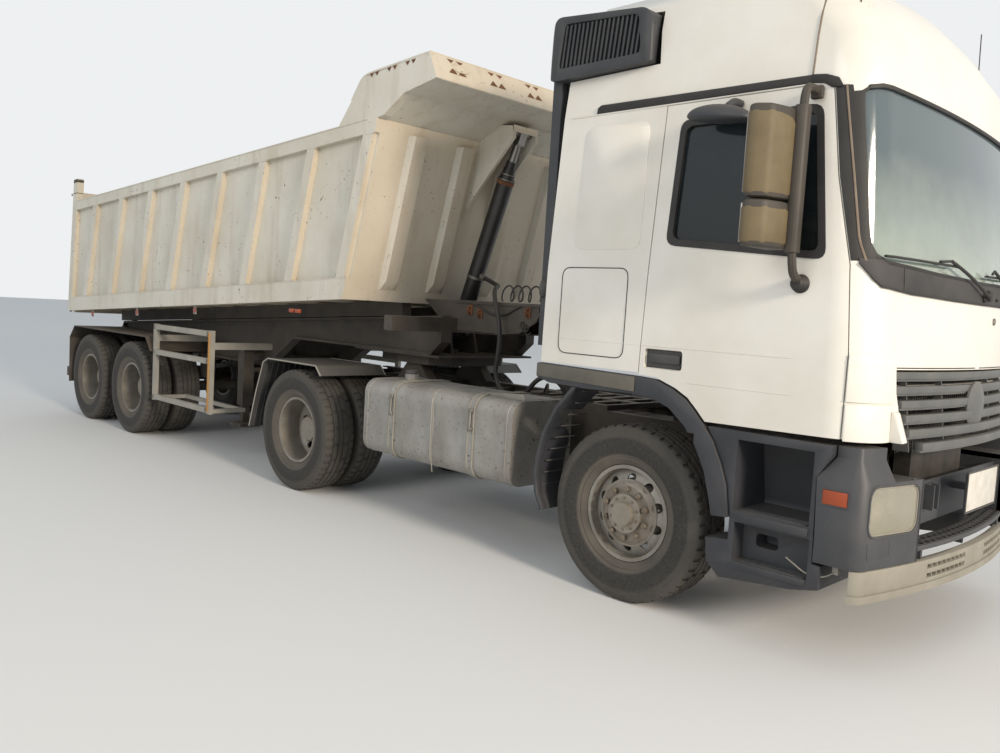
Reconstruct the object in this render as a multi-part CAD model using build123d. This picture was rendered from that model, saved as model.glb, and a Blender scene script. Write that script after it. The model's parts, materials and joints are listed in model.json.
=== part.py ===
from build123d import *
import math
import os

# Articulated tipper lorry: two-axle tractor with a high sleeper cab, and a two-axle tipping trailer.
# Millimetres. X points forward, Y to the lorry's left, Z up, the ground at Z = 0.
# Places along X are measured from the front axle; emit() moves all of it to the row's origin.

# Overall length, which sets the row's origin
bumper_front_x = 1470.0
rear_end_x = -9262.0
origin_x = (bumper_front_x + rear_end_x) / 2

# Running gear
wheelbase = 3600.0
tyre_radius = 538.0
tyre_width = 304.0
rim_radius = 292.0
rim_wall = 22.0
front_wheel_y = 1040.0
twin_spacing = 346.0
twin_y = 905.0
kingpin_y = 835.0
kingpin_radius = 24.0
hub_radius = 118.0
spindle_radius = 45.0
spindle_clearance = 0.5

# Tractor chassis
frame_top_z = 1030.0
frame_height = 250.0
frame_half_width = 415.0
frame_flange = 75.0
frame_wall = 12.0
frame_rear_x = -4380.0
frame_front_x = 1230.0
body_half_width = 1245.0

# Fifth wheel and trailer kingpin
coupling_x = -3000.0
coupling_top_z = 1265.0
coupling_plate = 75.0
coupling_gap = 5.0
coupling_pin_radius = 25.4
coupling_pin_clearance = 1.0

# Cab
cab_rear_x = -680.0
cab_front_x = 1445.0
cab_floor_z = 1400.0
cab_low_z = 1100.0
cab_corner_low_z = 1185.0
cab_belt_z = 1960.0
cab_top_z = 2930.0
cab_wall = 50.0
cab_corner = 170.0
cab_bow = 60.0
cab_tumblehome = 30.0
windscreen_rake = 150.0
roof_top_z = 3700.0
tilt_x = 1380.0
tilt_z = 1060.0
door_gap = 6.0
door_rear_x = 100.0
door_front_low = (1262.0, 1178.0)
door_front_high = (1110.0, 2900.0)
door_low_rear_z = 1392.0
door_top_z = 2918.0

# Trailer
trailer_axles = (-7170.0, -8440.0)
trailer_rail_y = 520.0
trailer_rail_width = 110.0
gooseneck_end_x = -4700.0

# Tipping bed, in its own frame: origin at the rear lower corner, x along its floor
bed_x = -9120.0
bed_z = 1350.0
bed_pitch = 3.4
bed_length = 6230.0
bed_height = 1400.0
bed_half_width = 1250.0
bed_wall = 30.0
bed_rib_depth = 50.0
rib_pitch = 800.0
bed_floor_z = 150.0
bed_front_slant = 18.0
bed_rear_slant = 8.0
bed_hinge_x = -8950.0
bed_hinge_z = 1150.0
bed_beam_depth = 110.0

# Telescopic cylinder
cylinder_base = (-2850.0, 1450.0)
cylinder_eye = (-2190.0, 3200.0)
cylinder_outer_radius = 75.0
cylinder_step = 10.0
cylinder_stages = 4

os.makedirs("parts", exist_ok=True)
sides = (("l", 1), ("r", -1))


def emit(name, shape):
    """Write one node, moved from the front axle's place to the row's origin."""
    export_step(Pos(-origin_x, 0, 0) * shape, f"parts/{name}.step")


def box(x, y, z):
    """A block from its low and high place on each axis."""
    size = [high - low for low, high in (x, y, z)]
    middle = [(low + high) / 2 for low, high in (x, y, z)]
    return Pos(*middle) * Box(*size)


def outline(points, radius=0.0):
    """A closed outline through points, with its corners rounded if a radius is given."""
    if radius:
        return make_face(FilletPolyline(*points, radius=radius, close=True))
    return make_face(Polyline(*points, close=True))


def side_prism(points, y0, y1, radius=0.0):
    """A side view outline of (x, z) points, carried across from y0 to y1."""
    face = outline([(x, y0, z) for x, z in points], radius)
    return extrude(face, amount=y1 - y0, dir=(0, 1, 0))


def front_prism(points, x0, x1, radius=0.0):
    """A front view outline of (y, z) points, carried along from x0 to x1."""
    face = outline([(x0, y, z) for y, z in points], radius)
    return extrude(face, amount=x1 - x0, dir=(1, 0, 0))


def plan_prism(points, z0, z1, radius=0.0):
    """A plan outline of (x, y) points, carried up from z0 to z1."""
    face = outline([(x, y, z0) for x, y in points], radius)
    return extrude(face, amount=z1 - z0, dir=(0, 0, 1))


def bar_y(x, z, radius, y0, y1):
    return Pos(x, (y0 + y1) / 2, z) * Rot(90, 0, 0) * Cylinder(radius, abs(y1 - y0))


def bar_x(y, z, radius, x0, x1):
    return Pos((x0 + x1) / 2, y, z) * Rot(0, 90, 0) * Cylinder(radius, abs(x1 - x0))


def bar_z(x, y, radius, z0, z1):
    return Pos(x, y, (z0 + z1) / 2) * Cylinder(radius, z1 - z0)


def both_sides(shape):
    """A shape and its mirror image on the other side of the lorry."""
    return shape + mirror(shape, Plane.XZ)


def turned(profile, x, z):
    """Turn an outline of (radius, y) points about the wheel axis at x, z."""
    face = make_face(Polyline(*[(r, y, 0) for r, y in profile], close=True))
    return Pos(x, 0, z) * revolve(face, Axis.Y, 360)


# Wheels
def tyre(x, y):
    half = tyre_width / 2
    profile = [
        (rim_radius, y - half * 0.72),
        (tyre_radius * 0.78, y - half),
        (tyre_radius - 25, y - half * 0.93),
        (tyre_radius, y - half * 0.78),
        (tyre_radius, y + half * 0.78),
        (tyre_radius - 25, y + half * 0.93),
        (tyre_radius * 0.78, y + half),
        (rim_radius, y + half * 0.72),
    ]
    return turned(profile, x, tyre_radius)


def hand_holes(x, count, ring, radius, y0, y1):
    """Round ventilation holes of a wheel disc, as one tool."""
    holes = [
        bar_y(
            x + ring * math.cos(2 * math.pi * (i + 0.5) / count),
            tyre_radius + ring * math.sin(2 * math.pi * (i + 0.5) / count),
            radius,
            y0,
            y1,
        )
        for i in range(count)
    ]
    return Part() + holes


disc_thickness = 14.0
hole_ring = 210.0
hole_radius = 30.0


def rim_barrel(y):
    """Rim with its two flanges and its well, as a ring."""
    half = tyre_width / 2 * 0.72
    inner = rim_radius - rim_wall
    return [(inner, y - half), (rim_radius, y - half), (rim_radius, y + half), (inner, y + half)]


def front_wheel(side):
    """Disc wheel with its dish towards the outside, hub and brake drum."""
    y = side * front_wheel_y
    face_y = y + side * 62
    hub_y = y + side * 100
    barrel = turned(rim_barrel(y), 0, tyre_radius)
    disc = turned(
        [
            (60, hub_y),
            (165, hub_y),
            (rim_radius - rim_wall + 4, face_y - side * 20),
            (rim_radius - rim_wall + 4, face_y - side * (20 + disc_thickness)),
            (165, hub_y - side * disc_thickness),
            (60, hub_y - side * disc_thickness),
        ],
        0,
        tyre_radius,
    )
    disc -= hand_holes(0, 10, hole_ring, hole_radius, y, hub_y + side * 40)
    hub = bar_y(0, tyre_radius, hub_radius, y - side * 60, hub_y + side * 30)
    hub += bar_y(0, tyre_radius, 70, hub_y + side * 20, hub_y + side * 62)
    hub += bar_y(0, tyre_radius, 205, y - side * 62, y + side * 85)
    drum_hollow = bar_y(0, tyre_radius, 190, y - side * 63, y - side * 40)
    bore = bar_y(0, tyre_radius, spindle_radius + spindle_clearance, y - side * 70, y + side * 70)
    return barrel + disc + hub - drum_hollow - bore


def twin_wheels(x, side):
    """Two disc wheels bolted back to back on one hub with its brake drum."""
    outer = side * (twin_y + twin_spacing / 2)
    inner = side * (twin_y - twin_spacing / 2)
    middle = side * twin_y
    wheel = turned(rim_barrel(outer), x, tyre_radius) + turned(rim_barrel(inner), x, tyre_radius)
    for rim_y, face in ((outer, middle + side * 8), (inner, middle - side * 8)):
        reach = 60 if abs(rim_y) > abs(middle) else -60
        disc = turned(
            [
                (60, face),
                (150, face),
                (rim_radius - rim_wall + 4, face + side * reach),
                (rim_radius - rim_wall + 4, face + side * (reach + disc_thickness)),
                (150, face + side * disc_thickness),
                (60, face + side * disc_thickness),
            ],
            x,
            tyre_radius,
        )
        wheel += disc
    wheel += bar_y(x, tyre_radius, 150, middle - side * 24, middle + side * 24)
    wheel -= hand_holes(x, 10, hole_ring, hole_radius, middle - side * 120, middle + side * 120)
    wheel += bar_y(x, tyre_radius, 105, middle + side * 10, middle + side * 165)
    wheel += bar_y(x, tyre_radius, 205, middle - side * 250, middle - side * 20)
    hollow = bar_y(x, tyre_radius, 185, middle - side * 251, middle - side * 60)
    bore = bar_y(x, tyre_radius, spindle_radius + spindle_clearance, middle - side * 70, middle + side * 90)
    return wheel - hollow - bore


for tag, side in sides:
    emit(f"front_tyre_{tag}", tyre(0, side * front_wheel_y))
    emit(f"front_rim_{tag}", front_wheel(side))
    for place, x in (("drive", -wheelbase), ("trailer_front", trailer_axles[0]), ("trailer_rear", trailer_axles[1])):
        pair = tyre(x, side * (twin_y + twin_spacing / 2)) + tyre(x, side * (twin_y - twin_spacing / 2))
        emit(f"{place}_tyres_{tag}", pair)
        emit(f"{place}_rims_{tag}", twin_wheels(x, side))


# Front axle: dropped beam, leaf springs, and the knuckles on their kingpins
beam_z = 440.0
knuckle_ear = 105.0
ear_gap = 6.0
arm_eye_radius = 45.0

beam = side_prism([(-50, beam_z - 60), (50, beam_z - 60), (50, beam_z + 45), (-50, beam_z + 45)], -560, 560)
for tag, side in sides:
    arm = front_prism(
        [
            (side * 540, beam_z - 60),
            (side * 760, tyre_radius - 50),
            (side * kingpin_y, tyre_radius - 50),
            (side * kingpin_y, tyre_radius + 50),
            (side * 740, tyre_radius + 50),
            (side * 540, beam_z + 45),
        ],
        -arm_eye_radius,
        arm_eye_radius,
    )
    arm += bar_z(0, side * kingpin_y, arm_eye_radius, tyre_radius - 50, tyre_radius + 50)
    beam += arm - bar_z(0, side * kingpin_y, kingpin_radius + 0.5, tyre_radius - 80, tyre_radius + 80)
spring = side_prism(
    [(-780, 690), (-400, 590), (-90, 545), (90, 545), (400, 590), (780, 690),
     (780, 730), (400, 650), (90, 610), (-90, 610), (-400, 650), (-780, 730)],
    355,
    435,
)
spring += box((-90, 90), (345, 445), (beam_z + 40, 560))
spring += box((-800, -740), (350, 440), (680, frame_top_z - frame_height))
spring += box((740, 800), (350, 440), (680, frame_top_z - frame_height))
emit("front_axle", beam + both_sides(spring))

for tag, side in sides:
    y = side * kingpin_y
    ears = Part()
    for z0 in (tyre_radius - 50 - ear_gap - 35, tyre_radius + 50 + ear_gap):
        ears += box((-45, 45), sorted((y - side * 42, y + side * 95)), (z0, z0 + 35))
    ears += box((-55, 55), sorted((y + side * 51, y + side * 95)), (tyre_radius - 91, tyre_radius + 91))
    ears += bar_y(0, tyre_radius, 175, y + side * 95, y + side * 110)
    ears += bar_y(0, tyre_radius, spindle_radius, y + side * 90, y + side * 255)
    pin = bar_z(0, y, kingpin_radius, tyre_radius - 91, tyre_radius + 91)
    lever = side_prism(
        [(-320, tyre_radius - 96), (40, tyre_radius - 96), (40, tyre_radius - 70), (-320, tyre_radius - 70)],
        *sorted((y - side * 20, y + side * 30)),
    )
    emit(f"knuckle_{tag}", ears + pin + lever)

# Drive axle with its differential, springs and prop shaft
axle = bar_y(-wheelbase, tyre_radius, 68, -560, 560)
axle += Pos(-wheelbase, 0, tyre_radius) * Sphere(190)
axle += bar_x(0, tyre_radius, 95, -wheelbase, -wheelbase + 300)
for tag, side in sides:
    axle += bar_y(-wheelbase, tyre_radius, spindle_radius, side * 540, side * (twin_y + 80))
    axle += box((-wheelbase - 80, -wheelbase + 80), sorted((side * 350, side * 440)), (tyre_radius - 90, 640))
    leaf = side_prism(
        [(-4260, 700), (-wheelbase - 90, 630), (-wheelbase + 90, 630), (-2940, 700),
         (-2940, 745), (-wheelbase + 90, 700), (-wheelbase - 90, 700), (-4260, 745)],
        *sorted((side * 355, side * 435)),
    )
    axle += leaf
    for hanger in (-4240, -2960):
        axle += box((hanger - 30, hanger + 30), sorted((side * 350, side * 440)), (700, frame_top_z - frame_height))
shaft_end_x = -1520.0
shaft = Cylinder(50, math.hypot(180, wheelbase - 280 + shaft_end_x))
middle = ((-wheelbase + 280 + shaft_end_x) / 2, 0, tyre_radius + 90)
axle += Pos(*middle) * Rot(0, 90 - math.degrees(math.atan2(180, wheelbase - 280 + shaft_end_x)), 0) * shaft
emit("drive_axle", axle)

# Chassis frame: two channels, cross members, catwalk, brackets
rail = box((frame_rear_x, frame_front_x), (frame_half_width - frame_wall, frame_half_width),
           (frame_top_z - frame_height, frame_top_z))
for z0 in (frame_top_z - frame_height, frame_top_z - frame_wall):
    rail += box((frame_rear_x, frame_front_x), (frame_half_width - frame_flange, frame_half_width), (z0, z0 + frame_wall))
frame = both_sides(rail)
cross_members = (-4330.0, -3900.0, -3150.0, -2500.0, -1900.0, -1620.0)
for x in cross_members:
    frame += box((x - 40, x + 40), (-frame_half_width + 5, frame_half_width - 5), (frame_top_z - frame_height + 20, frame_top_z - 30))
frame += box((1150, frame_front_x), (-480, 480), (frame_top_z - frame_height, frame_top_z - 20))
catwalk = box((-1700, -760), (-410, 410), (frame_top_z, frame_top_z + 40))
for i in range(5):
    x = -1640 + i * 180
    catwalk -= box((x, x + 120), (-360, -40), (frame_top_z - 1, frame_top_z + 41))
    catwalk -= box((x, x + 120), (40, 360), (frame_top_z - 1, frame_top_z + 41))
frame += catwalk
tow_x = 1378.0
tow_z = (700.0, 780.0)
tow_bore_radius = 15.5
frame += box((1150, tow_x + 20), (-70, 70), tow_z)
frame -= bar_z(tow_x, 0, tow_bore_radius, tow_z[0] - 1, tow_z[1] + 1)
emit("tractor_frame", frame)

# Engine and gearbox as one block, and the radiator in front of it
engine = box((-250, 1050), (-330, 330), (560, 1280))
engine += box((-1500, -250), (-220, 220), (600, 980))
emit("engine_block", engine)
radiator = box((1260, 1350), (-420, 420), (800, 1330))
emit("radiator", radiator)

# Fifth wheel: plate with a slot that opens to the rear, on its two brackets
plate_z = coupling_top_z - coupling_plate
plate = plan_prism(
    [
        (coupling_x + 440, -300), (coupling_x + 440, 300), (coupling_x + 300, 460), (coupling_x - 120, 460),
        (coupling_x - 520, 330), (coupling_x - 520, 130), (coupling_x - 60, 28), (coupling_x - 60, -28),
        (coupling_x - 520, -130), (coupling_x - 520, -330), (coupling_x - 120, -460), (coupling_x + 300, -460),
    ],
    plate_z,
    coupling_top_z,
)
slot = coupling_pin_radius + coupling_pin_clearance
plate -= bar_z(coupling_x, 0, slot, plate_z - 1, coupling_top_z + 1)
plate -= box((coupling_x - 80, coupling_x), (-slot, slot), (plate_z - 1, coupling_top_z + 1))
bracket = side_prism(
    [(coupling_x - 200, frame_top_z), (coupling_x + 260, frame_top_z), (coupling_x + 120, plate_z),
     (coupling_x - 60, plate_z)],
    300,
    400,
)
emit("fifth_wheel", plate + both_sides(bracket))

# Fuel tank on the right, battery and air tank box on the left
tank_x = (-2560.0, -920.0)
tank_z = (520.0, 1105.0)
tank_y = (-1225.0, -610.0)
tank = front_prism([(tank_y[0], tank_z[0]), (tank_y[1], tank_z[0]), (tank_y[1], tank_z[1]), (tank_y[0], tank_z[1])],
                   *tank_x, radius=110)
for x in (tank_x[0] + 330, tank_x[1] - 420):
    band = front_prism(
        [(tank_y[0] - 8, tank_z[0] - 8), (tank_y[1] + 8, tank_z[0] - 8), (tank_y[1] + 8, tank_z[1] + 8),
         (tank_y[0] - 8, tank_z[1] + 8)],
        x, x + 60, radius=115)
    tank += band
tank += bar_z(tank_x[0] + 180, -900, 55, tank_z[1] - 10, tank_z[1] + 45)
for x in (tank_x[0] + 350, tank_x[1] - 400):
    tank += box((x, x + 60), (tank_y[1], -frame_half_width), (tank_z[0] + 120, tank_z[1] - 120))
emit("fuel_tank", tank)

locker = box((-2100, -1300), (620, 1200), (560, 1080))
locker += box((-2100, -1300), (frame_half_width, 621), (800, 880))
locker += bar_x(760, 700, 150, -2760, -2180)
locker += box((-2700, -2640), (frame_half_width, 760), (800, 870))
locker += box((-2300, -2240), (frame_half_width, 760), (800, 870))
locker += box((-2200, -2090), (700, 800), (650, 750))
emit("battery_box", locker)

# Rear mudguards of the tractor: an arched sheet over each pair of twins
guard_radius = 620.0
guard_sheet = 8.0
for_guard = []
for tag, side in sides:
    lower, upper = sorted((side * 540, side * 1240))
    ring = bar_y(-wheelbase, tyre_radius, guard_radius, lower, upper)
    ring -= bar_y(-wheelbase, tyre_radius, guard_radius - guard_sheet, lower - 1, upper + 1)
    ring &= box((-wheelbase - 800, -wheelbase + 800), (lower - 1, upper + 1), (tyre_radius - 60, 2000))
    ring += box((-wheelbase - 120, -wheelbase - 60), sorted((side * frame_half_width, side * 570)), (960, 1020))
    ring += box((-wheelbase - 120, -wheelbase - 60), sorted((side * 540, side * 570)), (960, 1145))
    for_guard.append(ring)
emit("rear_mudguards", Part() + for_guard)


# Cab body: sections in plan at a few heights, joined by straight sides
def half_width_at(z):
    return body_half_width - cab_tumblehome * max(0.0, z - cab_belt_z) / (cab_top_z - cab_belt_z)


def cab_section(z, rear, front, half_width, bow, corner, inset):
    """One plan section: straight sides and back, a round corner each side, a bowed front."""
    rear += inset
    front -= inset
    half_width -= inset
    start = front - bow - corner
    edge = half_width - corner
    diagonal = corner * math.sqrt(0.5)
    return Wire(
        [
            Line((rear, half_width, z), (rear, -half_width, z)).edge(),
            Line((rear, -half_width, z), (start, -half_width, z)).edge(),
            ThreePointArc(
                (start, -half_width, z),
                (start + diagonal, -edge - diagonal, z),
                (start + corner, -edge, z),
            ).edge(),
            ThreePointArc((start + corner, -edge, z), (front, 0, z), (start + corner, edge, z)).edge(),
            ThreePointArc(
                (start + corner, edge, z),
                (start + diagonal, edge + diagonal, z),
                (start, half_width, z),
            ).edge(),
            Line((start, half_width, z), (rear, half_width, z)).edge(),
        ]
    )


cab_sections = (
    # height, back, front, bow of the front
    (cab_low_z, cab_rear_x, cab_front_x, cab_bow),
    (cab_belt_z, cab_rear_x + 10, cab_front_x - 5, cab_bow + 10),
    (cab_top_z, cab_rear_x + 50, cab_front_x - windscreen_rake, cab_bow + 25),
)


def cab_form(inset):
    """The cab's outer form, or the form a distance inside it."""
    wires = [
        cab_section(z, rear, front, half_width_at(z), bow, cab_corner, inset)
        for z, rear, front, bow in cab_sections
    ]
    return Solid.make_loft(wires, ruled=True)


def door_outline(grow):
    """The door's edge seen from the side, larger by the given amount."""
    low_x, low_z = door_front_low
    high_x, high_z = door_front_high
    return [
        (door_rear_x - grow, door_low_rear_z - grow),
        (low_x + grow, low_z - grow),
        (high_x + grow, door_top_z + grow),
        (door_rear_x + 30 - grow, door_top_z + grow),
    ]


window_outline = [(226, 2149), (1128, 2073), (1044, 2806), (258, 2808)]
screen_low_z = 2010.0
screen_high_z = 2840.0
screen_half_low = 1130.0
screen_half_high = 1090.0
grille_low_z = 1130.0
grille_high_z = 1515.0
grille_half = 930.0

outer_form = cab_form(0)
wall = outer_form - cab_form(cab_wall)
floor = cab_form(cab_wall) & box((-2000, 2000), (-1500, 1500), (cab_floor_z, cab_floor_z + 50))
skirt = side_prism(
    [(cab_rear_x - 100, cab_low_z - 100), (door_front_low[0] + 20, cab_low_z - 100), (door_front_low[0] + 20, door_front_low[1] + 12),
     (door_rear_x, cab_floor_z), (cab_rear_x - 100, cab_floor_z)],
    -1400,
    1400,
)
shell = wall + floor - skirt
door_space = side_prism(door_outline(door_gap / 2), -1400, 1400)
door_walls = wall & side_prism(door_outline(-door_gap / 2), -1400, 1400)
screen_space = front_prism(
    [(-screen_half_low, screen_low_z), (screen_half_low, screen_low_z), (screen_half_high, screen_high_z),
     (-screen_half_high, screen_high_z)],
    1000,
    1600,
)
grille_space = box((1250, 1600), (-grille_half, grille_half), (grille_low_z, grille_high_z))
shell -= door_space
shell -= screen_space
shell -= grille_space
for tag, side in sides:
    shell -= box((1200, 1600), sorted((side * (grille_half + 30), side * 1400)), (1000, cab_corner_low_z))
emit("cab_shell", shell)

glass = (cab_form(12) - cab_form(20)) & screen_space
emit("windscreen", glass)

# Grille: a frame with slats, in the opening of the front wall
front_skin = (cab_form(0) - cab_form(cab_wall)) & grille_space
inner_space = box((1250, 1600), (-grille_half + 25, grille_half - 25), (grille_low_z + 22, grille_high_z - 22))
slat_count = 7
slat_pitch = (grille_high_z - grille_low_z - 44) / slat_count
slats = Part()
for i in range(slat_count):
    z = grille_low_z + 22 + slat_pitch * (i + 0.5)
    slats += box((1250, 1600), (-grille_half + 20, grille_half - 20), (z - 14, z + 14))
emit("grille", (front_skin - inner_space) + ((cab_form(4) - cab_form(30)) & slats))

# Doors with their glass and mirrors
window_space = side_prism(window_outline, -1400, 1400)
pane = (cab_form(18) - cab_form(24)) & window_space
mirror_x = (1010.0, 1120.0)
for tag, side in sides:
    half = box((-1000, 2000), sorted((side * 900, side * 1500)), (900, 3200))
    emit(f"door_{tag}", (door_walls & half) - window_space)
    emit(f"door_glass_{tag}", pane & half)
    top = half_width_at(2870)
    low = half_width_at(1930)
    housing = plan_prism(
        [(mirror_x[0], side * 1330), (mirror_x[1], side * 1330), (mirror_x[1], side * 1560),
         (mirror_x[0] + 30, side * 1560)],
        2060,
        2720,
        radius=25,
    )
    housing += bar_y(1075, 2860, 16, side * (top - 2), side * 1400)
    housing += bar_z(1075, side * 1400, 16, 2600, 2876)
    housing += bar_y(1075, 1930, 16, side * (low - 2), side * 1400)
    housing += bar_z(1075, side * 1400, 16, 1914, 2100)
    housing += box((560, 760), sorted((side * 1300, side * 1420)), (2790, 2880))
    housing += bar_y(660, 2850, 14, side * (top - 2), side * 1350)
    emit(f"mirrors_{tag}", housing - outer_form)

# High roof moulding over the cab's top edge
roof_sections = (
    # height, back, front, half width
    (cab_top_z, cab_rear_x + 50, cab_front_x - windscreen_rake, half_width_at(cab_top_z)),
    (3200.0, cab_rear_x + 60, 1230.0, 1170.0),
    (3520.0, cab_rear_x + 90, 960.0, 1090.0),
    (roof_top_z, cab_rear_x + 260, 560.0, 820.0),
)


def roof_form(inset, lift):
    wires = [
        cab_section(z - (lift if z > cab_top_z else 0), rear, front, half_width, cab_bow + 25, cab_corner, inset)
        for z, rear, front, half_width in roof_sections
    ]
    return Solid.make_loft(wires, ruled=True)


snorkel_x = (-760.0, 30.0)
snorkel_z = (3165.0, 3560.0)
snorkel_y = (-1245.0, -985.0)
snorkel_space = box((snorkel_x[0] - 5, snorkel_x[1] + 5), (-1400, snorkel_y[1] + 5), (snorkel_z[0] - 5, snorkel_z[1] + 5))
emit("cab_roof", (roof_form(0, 0) - roof_form(cab_wall, 40)) - snorkel_space)

snorkel = box(snorkel_x, snorkel_y, snorkel_z)
snorkel = fillet(snorkel.edges().filter_by(Axis.Y), 50)
for i in range(15):
    x = snorkel_x[0] + 90 + i * 42
    snorkel -= box((x, x + 24), (snorkel_y[0] - 1, snorkel_y[0] + 25), (snorkel_z[0] + 60, snorkel_z[1] - 60))
snorkel += box((cab_rear_x - 75, cab_rear_x - 2), (-1200, -1010), (1500, snorkel_z[0] + 60))
emit("snorkel", snorkel)

# Cab inside: dashboard with the steering wheel, and two seats
dash = side_prism([(1080, 1530), (1370, 1530), (1360, 1960), (1180, 1990), (1060, 1850)], -1150, 1150)
dash += Pos(960, 600, 1880) * Rot(0, 60, 0) * Torus(215, 17)
dash += Pos(960, 600, 1880) * Rot(0, 60, 0) * Cylinder(40, 30)
dash += Pos(960, 600, 1880) * Rot(0, 60, 0) * Box(30, 430, 18)
dash += Pos(960, 600, 1880) * Rot(0, 60, 0) * Pos(0, 0, 90) * Cylinder(30, 180)
emit("dashboard", dash & cab_form(cab_wall + 2))

seats = Part()
for tag, side in sides:
    y0, y1 = sorted((side * 340, side * 880))
    seats += box((230, 700), (y0 + 60, y1 - 60), (cab_floor_z + 50, 1660))
    seats += side_prism([(180, 1655), (740, 1655), (760, 1790), (200, 1790)], y0, y1, radius=40)
    seats += side_prism([(180, 1700), (320, 1700), (200, 2480), (80, 2480)], y0, y1, radius=40)
emit("seats", seats)

# Front wheel arches, a strip above the wheel with its two legs
arch_x = (-700.0, 690.0)
arch_opening = 640.0
arches = Part()
for tag, side in sides:
    lower, upper = sorted((side * 900, side * 1250))
    body = side_prism([(arch_x[0], 500), (-600, 500), (-560, 1180), (560, 1180), (arch_x[1], 700), (arch_x[1] + 60, 700),
                       (arch_x[1] + 60, 1150), (150, 1372), (arch_x[0], 1372)], lower, upper)
    body -= bar_y(0, 560, arch_opening, lower - 1, upper + 1)
    body -= bar_y(0, 560, arch_opening + 35, *sorted((side * 850, side * 1200)))
    arches += body
emit("front_arches", arches)

# Entry steps behind the bumper corners
steps = Part()
for tag, side in sides:
    lower, upper = sorted((side * 860, side * 1235))
    block = side_prism([(760, 400), (1245, 400), (1262, 1150), (760, 1150)], lower, upper)
    block -= box((800, 1225), sorted((side * 960, side * 1300)), (460, 700))
    block -= box((800, 1225), sorted((side * 930, side * 1300)), (760, 1100))
    steps += block
emit("entry_steps", steps)


# Bumper: the corners wrap round, with a lower middle
def bumper_plan(inset):
    """Plan outline of the bumper, a distance inside its outer face."""
    front = bumper_front_x - 10 - inset
    half = body_half_width - inset
    return [
        (1270, -half), (1330, -half), (front - 40, -half + 140), (front, -half + 420), (front, half - 420),
        (front - 40, half - 140), (1330, half), (1270, half),
    ]


bumper = plan_prism(bumper_plan(0), 640, 1150) - plan_prism(bumper_plan(60) + [(1269, 0)], 600, 1200)
bumper -= box((1300, 1600), (-760, 760), (960, 1200))
bumper -= box((1100, 1600), (-990, 990), (1040, 1200))
lamp_z = (690.0, 975.0)
for tag, side in sides:
    bumper -= box((1250, 1600), sorted((side * 830, side * 1130)), lamp_z)
for side in (1, -1):
    bumper += box((frame_front_x, bumper_front_x - 60), sorted((side * 430, side * 480)), (800, 900))
emit("bumper", bumper)

lamps = Part()
for tag, side in sides:
    lamps += (plan_prism(bumper_plan(4), 600, 1200) - plan_prism(bumper_plan(60) + [(1269, 0)], 600, 1200)) & box(
        (1250, 1600), sorted((side * 832, side * 1128)), (lamp_z[0] + 2, lamp_z[1] - 2))
emit("headlamps", lamps)

valance = plan_prism(bumper_plan(-10), 400, 638) - plan_prism(bumper_plan(50) + [(1269, 0)], 300, 700)
valance += box((1290, bumper_front_x - 40), (-900, -820), (560, 638)) + box((1290, bumper_front_x - 40), (820, 900), (560, 638))
emit("lower_valance", valance)

# Trailer frame: two deep rails with a thinner neck over the fifth wheel
bed_place = Location((bed_x, 0, bed_z), (0, -bed_pitch, 0))


def bed_height_at(x, local_z):
    """World height of a line at a constant height in the bed's own frame."""
    angle = math.radians(bed_pitch)
    along = (x - bed_x + local_z * math.sin(angle)) / math.cos(angle)
    return bed_z + along * math.sin(angle) + local_z * math.cos(angle)


rail_top = -bed_beam_depth - 8
neck_z = coupling_top_z + coupling_gap + 15
rail_bottom_z = 960.0
rail_points = [
    (-9050, rail_bottom_z), (-9050, 1140), (-9000, 1190), (-8965, bed_height_at(-8965, rail_top)), (-2420, bed_height_at(-2420, rail_top)), (-2420, neck_z + 120),
    (-2560, neck_z), (gooseneck_end_x, neck_z), (gooseneck_end_x - 520, rail_bottom_z),
]
rails = Part()
for tag, side in sides:
    y0, y1 = sorted((side * (trailer_rail_y - trailer_rail_width / 2), side * (trailer_rail_y + trailer_rail_width / 2)))
    web = sorted((side * (trailer_rail_y - 8), side * (trailer_rail_y + 8)))
    full = side_prism(rail_points, y0, y1)
    core = side_prism(
        [(-9030, rail_bottom_z + 22), (-9030, 1125), (-8955, bed_height_at(-8965, rail_top) - 25), (-2440, bed_height_at(-2420, rail_top) - 25),
         (-2440, neck_z + 130), (-2550, neck_z + 22), (gooseneck_end_x - 8, neck_z + 22), (gooseneck_end_x - 512, rail_bottom_z + 22)],
        y0 - 1, y1 + 1)
    rails += (full - core) + (core & box((-9100, -2300), web, (800, 1700)))
frame_plate = box((coupling_x - 620, coupling_x + 560), (-575, 575), (neck_z - 15, neck_z + 2))
rails += frame_plate
for x in (-9000.0, -8050.0, -6400.0, -5500.0):
    rails += box((x - 45, x + 45), (-trailer_rail_y, trailer_rail_y), (rail_bottom_z, 1045))
rails += box((-3700, -3600), (-trailer_rail_y, trailer_rail_y), (neck_z, neck_z + 120))
rails += box((-4500, -4400), (-trailer_rail_y, trailer_rail_y), (neck_z, neck_z + 120))
rails += bar_z(coupling_x, 0, coupling_pin_radius, plate_z + 2, neck_z)
rails += box((-2520, -2420), (-1100, 1100), (bed_height_at(-2520, rail_top) - 130, bed_height_at(-2520, rail_top) - 10))
base_x, base_z = cylinder_base
for y in (-150, 150):
    rails += side_prism(
        [(base_x - 120, neck_z), (base_x + 120, neck_z), (base_x + 60, base_z + 55), (base_x - 60, base_z + 55)],
        y - 15, y + 15)
rails -= bar_y(base_x, base_z, 32.5, -170, 170)
for y in (-trailer_rail_y, trailer_rail_y):
    rails -= bar_y(bed_hinge_x, bed_hinge_z, 30.5, y - 200, y + 200)
emit("trailer_frame", rails)

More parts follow.
